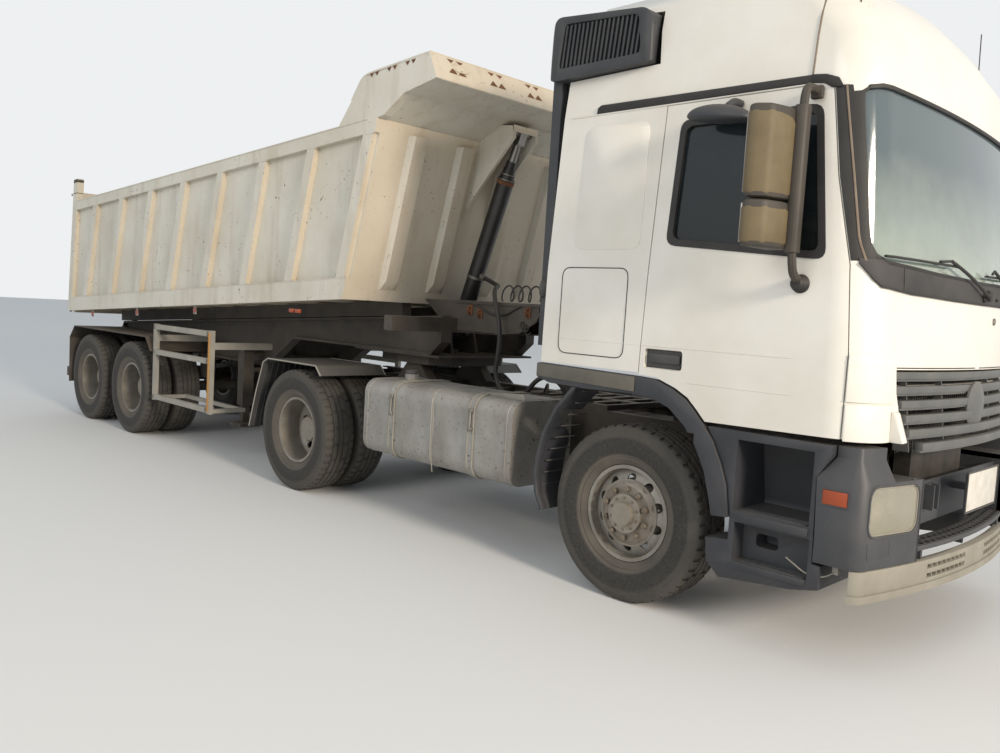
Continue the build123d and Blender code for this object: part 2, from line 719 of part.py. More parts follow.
# Trailer axles: round tubes on leaf springs with hangers
axles = Part()
for x in trailer_axles:
    axles += bar_y(x, tyre_radius, 62, -570, 570)
    for tag, side in sides:
        axles += bar_y(x, tyre_radius, spindle_radius, side * 560, side * (twin_y + 80))
        y0, y1 = sorted((side * (trailer_rail_y - 45), side * (trailer_rail_y + 40)))
        axles += side_prism(
            [(x - 560, 720), (x - 80, 640), (x + 80, 640), (x + 560, 720), (x + 560, 760), (x + 80, 700),
             (x - 80, 700), (x - 560, 760)],
            y0, y1)
        axles += box((x - 80, x + 80), (y0, y1), (tyre_radius - 70, 650))
for tag, side in sides:
    y0, y1 = sorted((side * (trailer_rail_y - 45), side * (trailer_rail_y + 40)))
    for x in (trailer_axles[0] + 540, (trailer_axles[0] + trailer_axles[1]) / 2, trailer_axles[1] - 540):
        axles += box((x - 90, x + 90), (y0, y1), (700, rail_bottom_z))
emit("trailer_axles", axles)

# Fenders over the trailer's wheels, with flaps behind
fender_top = 1165.0
fenders = Part()
for tag, side in sides:
    y0, y1 = sorted((side * 590, side * 1240))
    sheet = side_prism(
        [(-9060, 1010), (-8900, fender_top), (-6700, fender_top), (-6560, 1010), (-6570, 1004), (-6706, fender_top - 10),
         (-8894, fender_top - 10), (-9050, 1004)],
        y0, y1)
    sheet += box((-9062, -9050), (y0, y1), (420, 1012))
    for x in (-8760, -7800, -6850):
        sheet += box((x - 30, x + 30), sorted((side * (trailer_rail_y + 8), side * 700)), (fender_top - 60, fender_top - 5))
    fenders += sheet
emit("trailer_fenders", fenders)

# Side guards: two posts, three rails, on both sides
guards = Part()
guard_x = (-6520.0, -5170.0)
for tag, side in sides:
    y0, y1 = sorted((side * 1180, side * 1225))
    piece = Part()
    for x in (guard_x[0], guard_x[1] - 60):
        piece += box((x, x + 60), (y0, y1), (470, 1320))
        piece += box((x, x + 60), sorted((side * (trailer_rail_y + 8), side * 1225)), (1130, 1200))
    for z in (480, 980, 1260):
        piece += box((guard_x[0], guard_x[1]), (y0, y1), (z, z + 55))
    piece += box((guard_x[0], guard_x[1]), sorted((side * 820, side * 860)), (480, 520))
    for x in (guard_x[0], guard_x[1] - 60):
        piece += box((x, x + 60), sorted((side * 820, side * 1200)), (480, 520))
    guards += piece
emit("side_guards", guards)

legs = Part()
for tag, side in sides:
    y = side * 700
    legs += box((-5460, -5340), (y - 60, y + 60), (520, 1160))
    legs += box((-5435, -5365), (y - 38, y + 38), (330, 530))
    legs += box((-5520, -5280), (y - 110, y + 110), (300, 335))
    legs += box((-5440, -5360), sorted((side * (trailer_rail_y + 8), side * 700)), (1050, 1130))
legs += bar_y(-5400, 900, 25, -700, 700)
emit("landing_legs", legs)

underrun = box((-9250, -9150), (-1200, 1200), (480, 600))
for side in (1, -1):
    underrun += box((-9200, -9150), sorted((side * 500, side * 560)), (480, 1040))
    underrun += box((-9200, -9050), sorted((side * 500, side * 560)), (rail_bottom_z, 1040))
emit("underrun_bar", underrun)


# Tipping bed, drawn in its own frame and then set at its pitch
def lean(z, angle):
    return z * math.tan(math.radians(angle))


front_top = bed_length + lean(bed_height, bed_front_slant)
rear_top = lean(bed_height, bed_rear_slant)
side_outline = [(0, 0), (bed_length, 0), (front_top, bed_height), (rear_top, bed_height)]
plate_y = bed_half_width - bed_rib_depth
bed = Part()
for tag, side in sides:
    y0, y1 = sorted((side * (plate_y - bed_wall), side * plate_y))
    wall_y = sorted((side * (plate_y - 1), side * bed_half_width))
    bed += side_prism(side_outline, y0, y1)
    bed += side_prism([(0, 0), (bed_length, 0), (bed_length + lean(170, bed_front_slant), 170), (lean(170, bed_rear_slant), 170)], *wall_y)
    bed += side_prism([(rear_top - lean(110, bed_rear_slant), bed_height - 110), (front_top - lean(110, bed_front_slant), bed_height - 110),
                       (front_top, bed_height), (rear_top, bed_height)], *wall_y)
    for i in range(8):
        x = bed_length - i * rib_pitch
        rib_top = x + lean(1250, bed_front_slant)
        bed += side_prism([(x - 120, 100), (x, 100), (rib_top, 1350), (rib_top - 120, 1350)], *wall_y)
    post_top = bed_height + 280
    bed += side_prism([(0, 0), (130, 0), (130 + lean(post_top, bed_rear_slant), post_top), (lean(post_top, bed_rear_slant), post_top)],
                      *sorted((side * (plate_y - bed_wall), side * bed_half_width)))
inner_y = plate_y - 1
bed += box((0, bed_length + 30), (-inner_y, inner_y), (bed_floor_z - 40, bed_floor_z))
bed += side_prism([(bed_length, 0), (front_top, bed_height), (front_top - bed_wall, bed_height), (bed_length - bed_wall, 0)], -inner_y, inner_y)
for y in (-820, -300, 300, 820):
    bed += side_prism(
        [(bed_length + lean(130, bed_front_slant) - 10, 130), (bed_length + lean(200, bed_front_slant) + 50, 200),
         (bed_length + lean(1300, bed_front_slant) + 50, 1300), (bed_length + lean(1300, bed_front_slant) - 10, 1300)],
        y - 60, y + 60)
for i in range(11):
    x = 300 + i * 560
    bed += box((x - 40, x + 40), (-inner_y, inner_y), (20, bed_floor_z - 39))
# Cab protector: two cheeks, a rising deck and an upturned lip
cheek = [(6150, bed_height - 5), (6345, 1587), (6474, 1736), (7297, 1757), (7376, 1562), (7000, 1520), (6760, 1400), (front_top, bed_height - 5)]
for tag, side in sides:
    bed += side_prism(cheek, *sorted((side * (plate_y - bed_wall), side * bed_half_width)))
bed += side_prism([(front_top - 30, bed_height - 5), (front_top + 10, bed_height - 5), (7000, 1520), (7376, 1562), (7370, 1580), (6990, 1548), (6660, 1420)],
                  -inner_y, inner_y)
bed += side_prism([(7355, 1575), (7376, 1562), (7305, 1757), (7280, 1757)], -inner_y, inner_y)
# Hood for the cylinder's eye: two cheeks in front of the wall
eye_angle = math.radians(bed_pitch)
eye_dx, eye_dz = cylinder_eye[0] - bed_x, cylinder_eye[1] - bed_z
eye_local = (eye_dx * math.cos(eye_angle) + eye_dz * math.sin(eye_angle), -eye_dx * math.sin(eye_angle) + eye_dz * math.cos(eye_angle))
for y in (-150, 120):
    bed += side_prism(
        [(bed_length + lean(700, bed_front_slant) - 10, 700), (bed_length + lean(900, bed_front_slant) + 60, 900),
         (eye_local[0] + 60, eye_local[1] - 60), (eye_local[0] + 60, eye_local[1] + 45), (eye_local[0] - 200, eye_local[1] + 90), (front_top - 20, bed_height - 10)],
        y, y + 30)
emit("bed", bed_place * bed)

# Two beams under the floor, with the ears and pins of the bed's hinge
beams = Part()
for tag, side in sides:
    near, far = side * (trailer_rail_y - 100), side * (trailer_rail_y - 70)
    beam = box((60, bed_length - 60), sorted((side * (trailer_rail_y - 50), side * (trailer_rail_y + 50))), (-bed_beam_depth, 20))
    beam += box((100, 300), sorted((near, side * (trailer_rail_y - 45))), (-bed_beam_depth + 10, 10))
    beam = bed_place * beam
    beam += box((bed_hinge_x - 60, bed_hinge_x + 60), sorted((near, far)), (bed_hinge_z - 60, bed_hinge_z + 150))
    beam += bar_y(bed_hinge_x, bed_hinge_z, 30, near, side * (trailer_rail_y + 70))
    beams += beam
emit("bed_beams", beams)

# Tailgate: ribbed plate between the posts, hung from pins at the post tops
gate_local_top = bed_height + 200
gate = side_prism(
    [(lean(-20, bed_rear_slant) - 90, -20), (lean(-20, bed_rear_slant) - 30, -20), (lean(gate_local_top - 60, bed_rear_slant) - 30, gate_local_top - 60), (lean(gate_local_top - 60, bed_rear_slant) - 90, gate_local_top - 60)],
    -1150, 1150)
for z in (40, 420, 800, 1180):
    gate += side_prism([(lean(z, bed_rear_slant) - 140, z), (lean(z, bed_rear_slant) - 80, z), (lean(z + 110, bed_rear_slant) - 80, z + 110), (lean(z + 110, bed_rear_slant) - 140, z + 110)], -1150, 1150)
emit("tailgate", bed_place * gate)

# Telescopic cylinder along its own axis, from the base pivot to the eye
run_x = cylinder_eye[0] - base_x
run_z = cylinder_eye[1] - base_z
cylinder_length = math.hypot(run_x, run_z)
cylinder_lean = math.degrees(math.atan2(run_x, run_z))
cylinder_place = Location((base_x, 0, base_z), (0, cylinder_lean, 0))


def tube(radius, bore, z0, z1):
    return Pos(0, 0, (z0 + z1) / 2) * (Cylinder(radius, z1 - z0) - Cylinder(bore, z1 - z0 + 2))


tube_wall = cylinder_step - 0.5
outer = tube(cylinder_outer_radius, cylinder_outer_radius - tube_wall, 40, cylinder_length - 420)
outer += Pos(0, 0, 30) * Cylinder(cylinder_outer_radius, 60)
outer += Rot(90, 0, 0) * Cylinder(32, 345)
emit("cylinder_tube", cylinder_place * outer)
for i in range(1, cylinder_stages + 1):
    radius = cylinder_outer_radius - i * cylinder_step
    start = 62 + i * 4
    end = cylinder_length - 420 + i * 60
    if i < cylinder_stages:
        stage = tube(radius, radius - tube_wall, start, end)
    else:
        stage = Pos(0, 0, (start + cylinder_length - 60) / 2) * Cylinder(radius, cylinder_length - 60 - start)
        stage += Pos(0, 0, cylinder_length - 30) * Box(90, 80, 120)
        stage += Pos(0, 0, cylinder_length) * Rot(90, 0, 0) * Cylinder(45, 80)
        stage += Pos(0, 0, cylinder_length) * Rot(90, 0, 0) * Cylinder(25, 220)
    emit(f"cylinder_stage_{i}", cylinder_place * stage)

# Hydraulic hose from the trailer's neck down and up to the tractor's catwalk
hose_radius = 19.0
hose_points = [
    (-2300, -480, 1560), (-2180, -480, 1600), (-2060, -500, 1570), (-1980, -530, 1440), (-1960, -550, 1300),
    (-1930, -560, 1180), (-1830, -560, 1100), (-1720, -540, 1080),
]
radii = []
for a, b, c in zip(hose_points, hose_points[1:], hose_points[2:]):
    first, second = Vector(*b) - Vector(*a), Vector(*c) - Vector(*b)
    half_turn = math.radians(first.get_angle(second)) / 2
    radii.append(0.45 * min(first.length, second.length) / math.tan(half_turn))
print("hose radii", [round(r) for r in radii])
hose_path = FilletPolyline(*hose_points, radius=radii)
hose_face = Plane(origin=hose_path @ 0, z_dir=hose_path % 0) * Circle(hose_radius)
hose = sweep(hose_face, path=hose_path)
print("hose volume share", round(hose.volume / (math.pi * hose_radius**2 * hose_path.length), 4))
emit("hydraulic_hose", hose)
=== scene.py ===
# %% [markdown]
# # An articulated tipper lorry, dressed for its photograph
# The solid model gives every panel its shape and its place. This script loads it as a fixed frame and adds what the
# eye sees from a step away: paint, dust and rust, tyre treads, wheel nuts, lamps, wipers, seals, straps and hoses.
# Everything is in metres. X runs forward, Y to the lorry's left and Z up; the ground is at Z = 0.

import json
import math

import bmesh
import bpy
from mathutils import Matrix, Vector


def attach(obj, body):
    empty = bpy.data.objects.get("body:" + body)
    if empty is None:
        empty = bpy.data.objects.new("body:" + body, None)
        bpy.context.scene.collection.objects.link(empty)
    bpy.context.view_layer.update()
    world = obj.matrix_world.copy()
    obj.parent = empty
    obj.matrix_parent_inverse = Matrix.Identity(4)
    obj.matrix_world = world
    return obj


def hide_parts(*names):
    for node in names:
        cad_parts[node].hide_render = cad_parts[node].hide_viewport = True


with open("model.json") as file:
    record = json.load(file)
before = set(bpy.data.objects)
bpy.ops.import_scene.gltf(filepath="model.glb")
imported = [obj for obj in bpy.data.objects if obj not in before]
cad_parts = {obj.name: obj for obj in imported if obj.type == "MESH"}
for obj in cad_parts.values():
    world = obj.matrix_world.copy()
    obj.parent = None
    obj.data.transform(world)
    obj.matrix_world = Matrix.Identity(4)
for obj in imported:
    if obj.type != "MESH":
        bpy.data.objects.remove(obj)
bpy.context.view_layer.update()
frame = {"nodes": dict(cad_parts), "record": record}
cad_nodes = frame["nodes"]

# %% [markdown]
# ## The camera
# The photograph was taken from the right side, a little ahead of the front wheel and at eye height, with the phone
# turned a few degrees. The numbers below come from matching wheels, cab edges and the tipper's rails. A camera is an
# object whose local X points right, Y up and -Z forward, so its matrix is filled with those three directions.

# %% Camera
FRONT_AXLE_X = 3.896  # where the front axle stands in this frame
eye = Vector((3.0548 + FRONT_AXLE_X, -5.3929, 1.7312))
yaw, pitch, roll = (math.radians(v) for v in (44.6236, -4.5707, 3.3748))
forward = Vector((-math.sin(yaw) * math.cos(pitch), math.cos(yaw) * math.cos(pitch), math.sin(pitch)))
level_right = forward.cross(Vector((0, 0, 1))).normalized()
level_up = level_right.cross(forward)
right = level_right * math.cos(roll) + level_up * math.sin(roll)
up = level_up * math.cos(roll) - level_right * math.sin(roll)
camera = bpy.data.objects.new("camera", bpy.data.cameras.new("camera"))
bpy.context.scene.collection.objects.link(camera)
axes = Matrix((right, up, -forward)).transposed()
camera.matrix_world = Matrix.Translation(eye) @ axes.to_4x4()
camera.data.sensor_width = 36.0
camera.data.lens = 869.45 / 1000 * 36.0
camera.data.clip_end = 200
bpy.context.scene.camera = camera
print("Camera at", [round(v, 3) for v in eye], "lens", round(camera.data.lens, 2), "mm")

# %% [markdown]
# ## The tipping hose
# One thick rubber hose runs from a port on the cylinder over the nose of the trailer, hangs in a loop in front of the
# catwalk and comes down again to a coupling on it behind the cab. A hose is one smooth curve, so it is a NURBS spline
# whose control points are the corners of the route, with a round bevel for its thickness.

# %% Hose
HOSE_RADIUS = 0.019
hose_route = [
    (-2546.5, 0, 1985.4), (-2354.5, 0, 1913.2), (-2205, -150, 1905), (-2060, -335, 1872), (-1925, -458, 1785),
    (-1830, -500, 1650), (-1795, -505, 1500), (-1812, -500, 1340), (-1838, -497, 1190), (-1765, -495, 1066),
    (-1632, -497, 1016), (-1496, -500, 1060), (-1394, -498, 1190), (-1300, -470, 1235), (-1215, -425, 1190),
    (-1180, -392, 1120), (-1180, -385, 1078),
]


def at(x, y, z):
    """A place given in millimetres from the front axle, as a point of this frame in metres."""
    return Vector((x / 1000 + FRONT_AXLE_X, y / 1000, z / 1000))


hose_curve = bpy.data.curves.new("tipping_hose", "CURVE")
hose_curve.dimensions = "3D"
hose_spline = hose_curve.splines.new("NURBS")
hose_spline.points.add(len(hose_route) - 1)
for point, place in zip(hose_spline.points, hose_route):
    point.co = (*at(*place), 1.0)
hose_spline.order_u = 3
hose_spline.use_endpoint_u = True
hose_spline.resolution_u = 8
hose_curve.bevel_depth = HOSE_RADIUS
hose_curve.bevel_resolution = 3
hose_curve.use_fill_caps = True
hose = bpy.data.objects.new("tipping_hose", hose_curve)
bpy.context.scene.collection.objects.link(hose)
bpy.context.view_layer.update()
print("Hose control points:", len(hose_route))

# %% [markdown]
# ## Ground, sky and light
# The lorry stands on a plain pale floor. The sky is one even pale tone, a little brighter to the camera than to the
# object, so the picture stays light while the paint keeps its depth. A soft warm lamp ahead of the lorry stands for
# the late sun, which lights the cab's front more than its side, and a wide weak one fills the side.

# %% Helpers for colours, nodes and links
def linear(code, alpha=1.0):
    """An sRGB hex colour, such as c9c2b2, as Blender's linear red, green, blue and alpha."""
    parts = [int(code[i:i + 2], 16) / 255 for i in (0, 2, 4)]
    return (*[v / 12.92 if v <= 0.04045 else ((v + 0.055) / 1.055) ** 2.4 for v in parts], alpha)


def add(tree, kind, inputs=None, **settings):
    """Adds one node, sets what it is given, and links or fills its inputs."""
    node = tree.nodes.new("ShaderNode" + kind)
    for key, value in settings.items():
        setattr(node, key, value)
    for key, value in (inputs or {}).items():
        if isinstance(value, bpy.types.NodeSocket):
            tree.links.new(value, node.inputs[key])
        else:
            node.inputs[key].default_value = value
    return node


# %% Floor, sky and lamps
bpy.ops.object.select_all(action="DESELECT")
bpy.ops.mesh.primitive_plane_add(size=160, location=(0, 0, 0))
floor = bpy.context.object
floor.name = "floor"
floor_paint = bpy.data.materials.new("pale_floor")
floor_paint.use_nodes = True
floor_paint.node_tree.nodes["Principled BSDF"].inputs["Base Color"].default_value = linear("e4e4e2")
floor_paint.node_tree.nodes["Principled BSDF"].inputs["Roughness"].default_value = 0.9
floor.data.materials.append(floor_paint)
world = bpy.data.worlds.new("pale_sky")
bpy.context.scene.world = world
world.use_nodes = True
sky = world.node_tree
sky.nodes.clear()
ray = add(sky, "LightPath")
seen = add(sky, "Math", {0: ray.outputs["Is Camera Ray"], 1: ray.outputs["Is Glossy Ray"]}, operation="MAXIMUM")
seen = add(sky, "Math", {0: seen.outputs[0], 1: ray.outputs["Is Transmission Ray"]}, operation="MAXIMUM")
dim = add(sky, "Background", {"Color": linear("dfe6ee"), "Strength": 0.68})
bright = add(sky, "Background", {"Color": linear("eef0f1"), "Strength": 1.0})
mixed = add(sky, "MixShader", {0: seen.outputs[0], 1: dim.outputs[0], 2: bright.outputs[0]})
add(sky, "OutputWorld", {"Surface": mixed.outputs[0]})
bpy.context.scene.view_settings.view_transform = "Standard"
lamps = (
    # name, place, aim, size, power, colour
    ("late_sun", (24.0, -5.0, 8.0), (0.0, -0.5, 1.6), 4.0, 4300.0, "fff0dd"),
    ("side_fill", (4.0, -22.0, 12.0), (0.0, 0.0, 1.2), 12.0, 1250.0, "f6f4ee"),
)
for name, place, aim, size, power, colour in lamps:
    lamp = bpy.data.lights.new(name, "AREA")
    lamp.shape = "DISK"
    lamp.size = size
    lamp.energy = power
    lamp.color = linear(colour)[:3]
    stand = bpy.data.objects.new(name, lamp)
    stand.location = place
    stand.rotation_euler = (Vector(aim) - Vector(place)).to_track_quat("-Z", "Y").to_euler()
    bpy.context.scene.collection.objects.link(stand)
print("Lamps:", [row[0] for row in lamps])

# %% [markdown]
# ## Materials
# A lorry that works in a dry, dusty place is never one flat colour. Each finish starts from what the part is made of
# and how it was made, then gets the same three things a painter would add: slow patches where it faded, fine specks
# and dust that lies on what faces up. Patterns read Object coordinates, so they stay put when a part moves, and
# every scale is worked out from a real size in millimetres.

# %% One weathered surface, used for most finishes
def per_metre(size_mm):
    """The scale that makes one feature of a pattern as wide as a size in millimetres."""
    return 1000.0 / size_mm


def surface(name):
    """A new material: its node tree, its shader and its Object coordinates."""
    material = bpy.data.materials.new(name)
    material.use_nodes = True
    tree = material.node_tree
    return material, tree, tree.nodes["Principled BSDF"], add(tree, "TexCoord")


def ramp(tree, value, low, high):
    """A value turned into 0 below low and 1 above high."""
    return add(tree, "MapRange", {"Value": value, "From Min": low, "From Max": high}).outputs["Result"]


def blended(tree, amount, first, second):
    """Two colours, mixed by an amount."""
    return add(tree, "Mix", {0: amount, 6: first, 7: second}, data_type="RGBA").outputs[2]


def weathered(name, colour, faded, patch_mm, speck, speck_mm, specks, dust, dusty, roughness, grain_mm, relief_mm,
              metallic=0.0, coat=0.0):
    """Fades in slow patches, has fine specks and dust on what faces up, and a fine relief."""
    material, tree, shader, place = surface(name)
    where = place.outputs["Object"]
    slow = add(tree, "TexNoise", {"Vector": where, "Scale": per_metre(patch_mm), "Detail": 5.0, "Roughness": 0.6})
    fine = add(tree, "TexNoise", {"Vector": where, "Scale": per_metre(speck_mm), "Detail": 3.0, "Roughness": 0.7})
    base = blended(tree, ramp(tree, slow.outputs["Fac"], 0.35, 0.68), linear(colour), linear(faded))
    base = blended(tree, ramp(tree, fine.outputs["Fac"], 0.74 - 0.2 * specks, 0.80 - 0.2 * specks), base,
                   linear(speck))
    facing = add(tree, "SeparateXYZ", {0: place.outputs["Normal"]}).outputs["Z"]
    lying = add(tree, "Math", {0: ramp(tree, facing, 0.1, 0.95), 1: slow.outputs["Fac"]}, operation="ADD")
    lying = add(tree, "Math", {0: lying.outputs[0], 1: dusty}, operation="MULTIPLY", use_clamp=True)
    base = blended(tree, lying.outputs[0], base, linear(dust))
    tree.links.new(base, shader.inputs["Base Color"])
    rough = add(tree, "MapRange", {"Value": lying.outputs[0], "To Min": roughness, "To Max": min(roughness + 0.3, 1)})
    tree.links.new(rough.outputs["Result"], shader.inputs["Roughness"])
    grain = add(tree, "TexNoise", {"Vector": where, "Scale": per_metre(grain_mm), "Detail": 2.0})
    bump = add(tree, "Bump", {"Height": grain.outputs["Fac"], "Distance": relief_mm / 1000, "Strength": 0.6})
    tree.links.new(bump.outputs["Normal"], shader.inputs["Normal"])
    shader.inputs["Metallic"].default_value = metallic
    shader.inputs["Coat Weight"].default_value = coat
    return material


# %% [markdown]
# Paint on pressed steel: the cab's is a gloss white that has gone a little chalky. Moulded plastics are darker, with
# a fine grain and pale dust in it. Chassis parts are black under a brown-grey coat of road dust. The grain of the
# plastics is really under 1 mm; it is drawn at 3 to 6 mm here, because finer would not show.

# %% Painted, moulded and cast finishes
finishes = (
    # name, colour, faded, patch, speck colour, speck mm, specks, dust, dusty, roughness, grain, relief, metallic, coat
    ("gloss_white_cab_paint", "e3e0d8", "d8d3c8", 700, "a39684", 14, 0.02, "c9bfae", 0.10, 0.34, 900, 1.0, 0.0, 0.35),
    ("faded_white_panel", "dcd9d1", "cfc9bd", 400, "8c8172", 12, 0.05, "bfb5a4", 0.15, 0.45, 500, 1.0, 0.0, 0.1),
    ("chassis_paint_dusty", "1d1b1a", "2c2927", 260, "5e564c", 22, 0.30, "857868", 0.34, 0.62, 12, 0.8, 0.0, 0.0),
    ("moulded_black_plastic", "24272c", "34383d", 300, "77726a", 16, 0.12, "8d8577", 0.22, 0.55, 5, 0.35, 0.0, 0.0),
    ("moulded_dark_grey_plastic", "2b2f36", "363a41", 300, "7c7871", 18, 0.10, "857d70", 0.17, 0.50, 5, 0.3, 0.0, 0.0),
    ("sun_bleached_valance", "8f8c82", "7c796f", 220, "5d574e", 18, 0.22, "a89f8d", 0.25, 0.70, 6, 0.5, 0.0, 0.0),
    ("moulded_dark_blue_plastic", "1f242c", "2a2f38", 300, "7c7971", 16, 0.12, "776f64", 0.18, 0.48, 5, 0.3, 0.0, 0.0),
    ("sun_worn_strip", "4d4b45", "5f5b52", 260, "8c8678", 14, 0.12, "8f8778", 0.20, 0.60, 6, 0.3, 0.0, 0.0),
    ("intake_plastic", "25282d", "303338", 260, "5e5c58", 14, 0.07, "6b665e", 0.18, 0.50, 5, 0.3, 0.0, 0.0),
    ("mirror_frame_plastic", "2e2a25", "39342d", 180, "5f584c", 12, 0.06, "6f675a", 0.16, 0.55, 5, 0.3, 0.0, 0.0),
    ("worn_brown_trim", "6a5c4c", "7d6f62", 120, "b3a58f", 10, 0.14, "94897a", 0.20, 0.60, 5, 0.3, 0.0, 0.0),
    ("moulded_grey_grille", "4f5254", "5c5f5f", 250, "8c877d", 14, 0.12, "8f8879", 0.20, 0.48, 5, 0.25, 0.0, 0.0),
    ("weathered_guard_paint", "8f8c84", "a39f95", 240, "5a5148", 14, 0.22, "a3998a", 0.25, 0.60, 40, 0.8, 0.1, 0.0),
    ("mirror_housing_plastic", "2b2926", "3a3631", 200, "7a705f", 14, 0.08, "8a7f6d", 0.20, 0.55, 5, 0.3, 0.0, 0.0),
    ("mirror_tan_panel", "55492f", "61543a", 160, "4f4534", 12, 0.05, "9a8c72", 0.18, 0.60, 5, 0.3, 0.0, 0.0),
    ("dashboard_grained_plastic", "3c3c3f", "48484b", 200, "6d6a66", 10, 0.03, "8c8577", 0.25, 0.65, 4, 0.4, 0.0, 0.0),
    ("windscreen_cowl_plastic", "26272a", "333335", 240, "66625b", 14, 0.10, "777067", 0.20, 0.65, 5, 0.3, 0.0, 0.0),
    ("black_lacquered_cylinder", "17171a", "242326", 200, "6d5a48", 10, 0.14, "6f675c", 0.16, 0.35, 60, 0.4, 0.2, 0.2),
    ("hose_rubber", "191919", "232221", 120, "4a453e", 8, 0.20, "5f584e", 0.22, 0.60, 6, 0.3, 0.0, 0.0),
    ("rubber_seal", "121214", "1b1b1c", 160, "55504a", 9, 0.08, "6b655b", 0.15, 0.60, 6, 0.2, 0.0, 0.0),
    ("cast_iron_oiled", "2d2a27", "3a3530", 160, "5e4636", 14, 0.25, "6d6154", 0.30, 0.70, 5, 0.8, 0.2, 0.0),
    ("cooler_fins", "3a3a38", "4a4845", 90, "6e675c", 6, 0.20, "8a7f6f", 0.25, 0.60, 4, 1.2, 0.6, 0.0),
    ("rusted_steel", "5b3a26", "74492c", 90, "2e211a", 8, 0.30, "8b6a4c", 0.20, 0.85, 6, 1.0, 0.1, 0.0),
    ("zinc_plated_steel", "8d8a84", "7a7670", 90, "5c4536", 8, 0.22, "9a9183", 0.15, 0.45, 20, 0.3, 0.8, 0.0),
    ("white_marker_plastic", "d5d2ca", "c3bfb5", 90, "8a8377", 6, 0.06, "b6ad9d", 0.15, 0.40, 6, 0.2, 0.0, 0.0),
    ("orange_guard_paint", "c08a3c", "a9753a", 120, "6b4a2b", 10, 0.25, "a3936f", 0.20, 0.60, 30, 0.5, 0.0, 0.0),
    ("retroreflective_red", "a03a2c", "8c3226", 60, "5e2a20", 8, 0.10, "9a6f5c", 0.12, 0.35, 4, 0.2, 0.0, 0.2),
)
look = {}
for (name, colour, faded, patch, speck, speck_size, specks, dust, dusty, rough, grain, relief, metal,
     coat) in finishes:
    look[name] = weathered(name, colour, faded, patch, speck, speck_size, specks, dust, dusty, rough, grain, relief,
                           metal, coat)
print("Weathered finishes:", len(look))

# %% [markdown]
# The tipper's cream paint has had stones tipped on it for years. It is chipped to rust in small spots that come in
# clusters, streaked from the top rail down, and its sheet is wavy with shallow round dents.

# %% Tipper paint
material, tree, shader, place = surface("cream_tipper_paint")
where = place.outputs["Object"]
slow = add(tree, "TexNoise", {"Vector": where, "Scale": per_metre(900), "Detail": 6.0, "Roughness": 0.65})
base = blended(tree, ramp(tree, slow.outputs["Fac"], 0.32, 0.70), linear("d6d2c6"), linear("c4bdad"))
stretched = add(tree, "Mapping", {"Vector": where, "Scale": (7.0, 7.0, 0.9)})
streak = add(tree, "TexNoise", {"Vector": stretched.outputs[0], "Scale": 1.0, "Detail": 4.0, "Roughness": 0.6})
amount = add(tree, "Math", {0: ramp(tree, streak.outputs["Fac"], 0.52, 0.80), 1: 0.5}, operation="MULTIPLY")
base = blended(tree, amount.outputs[0], base, linear("a5977f"))
turned_to = add(tree, "SeparateXYZ", {0: place.outputs["Normal"]})
# Faces turned forward, toward the late sun, get a warm tan: this is painted sunlight.
painted_sunlit_front_faces = add(tree, "Math", {0: ramp(tree, turned_to.outputs["X"], 0.45, 0.75), 1: 0.35}, operation="MULTIPLY")
base = blended(tree, painted_sunlit_front_faces.outputs[0], base, linear("bda582"))
upward = add(tree, "Math", {0: ramp(tree, turned_to.outputs["Z"], 0.4, 0.95), 1: 0.45}, operation="MULTIPLY")
base = blended(tree, upward.outputs[0], base, linear("b3a58d"))
cluster = add(tree, "TexNoise", {"Vector": where, "Scale": per_metre(600), "Detail": 2.0})
chip = add(tree, "TexNoise", {"Vector": where, "Scale": per_metre(34), "Detail": 3.0, "Roughness": 0.6})
chipped = add(tree, "Math", {0: ramp(tree, chip.outputs["Fac"], 0.665, 0.695),
                             1: ramp(tree, cluster.outputs["Fac"], 0.42, 0.60)}, operation="MULTIPLY")
base = blended(tree, chipped.outputs[0], base, linear("5f4632"))
tree.links.new(base, shader.inputs["Base Color"])
rough = add(tree, "MapRange", {"Value": chipped.outputs[0], "To Min": 0.55, "To Max": 0.9})
tree.links.new(rough.outputs["Result"], shader.inputs["Roughness"])
dents = add(tree, "TexVoronoi", {"Vector": where, "Scale": per_metre(260)}, feature="SMOOTH_F1")
waves = add(tree, "Math", {0: dents.outputs["Distance"], 1: slow.outputs["Fac"]}, operation="MULTIPLY")
bump = add(tree, "Bump", {"Height": waves.outputs[0], "Distance": 0.016, "Strength": 0.55})
edge = add(tree, "Bump", {"Height": chipped.outputs[0], "Distance": 0.0015, "Strength": 0.7,
                          "Normal": bump.outputs["Normal"]})
tree.links.new(edge.outputs["Normal"], shader.inputs["Normal"])
look["cream_tipper_paint"] = material
print("Tipper paint: chips of about 34 mm in clusters of 600 mm")

# %% [markdown]
# Tyre rubber is black only when new: here the side walls carry pale road dust in rings, because dust stays in the
# grooves around the bead. The wheels were silver, and now have brown dust and rust that thickens toward the hub.

# %% Rubber and wheel steel
AXLE_HEIGHT = 0.538


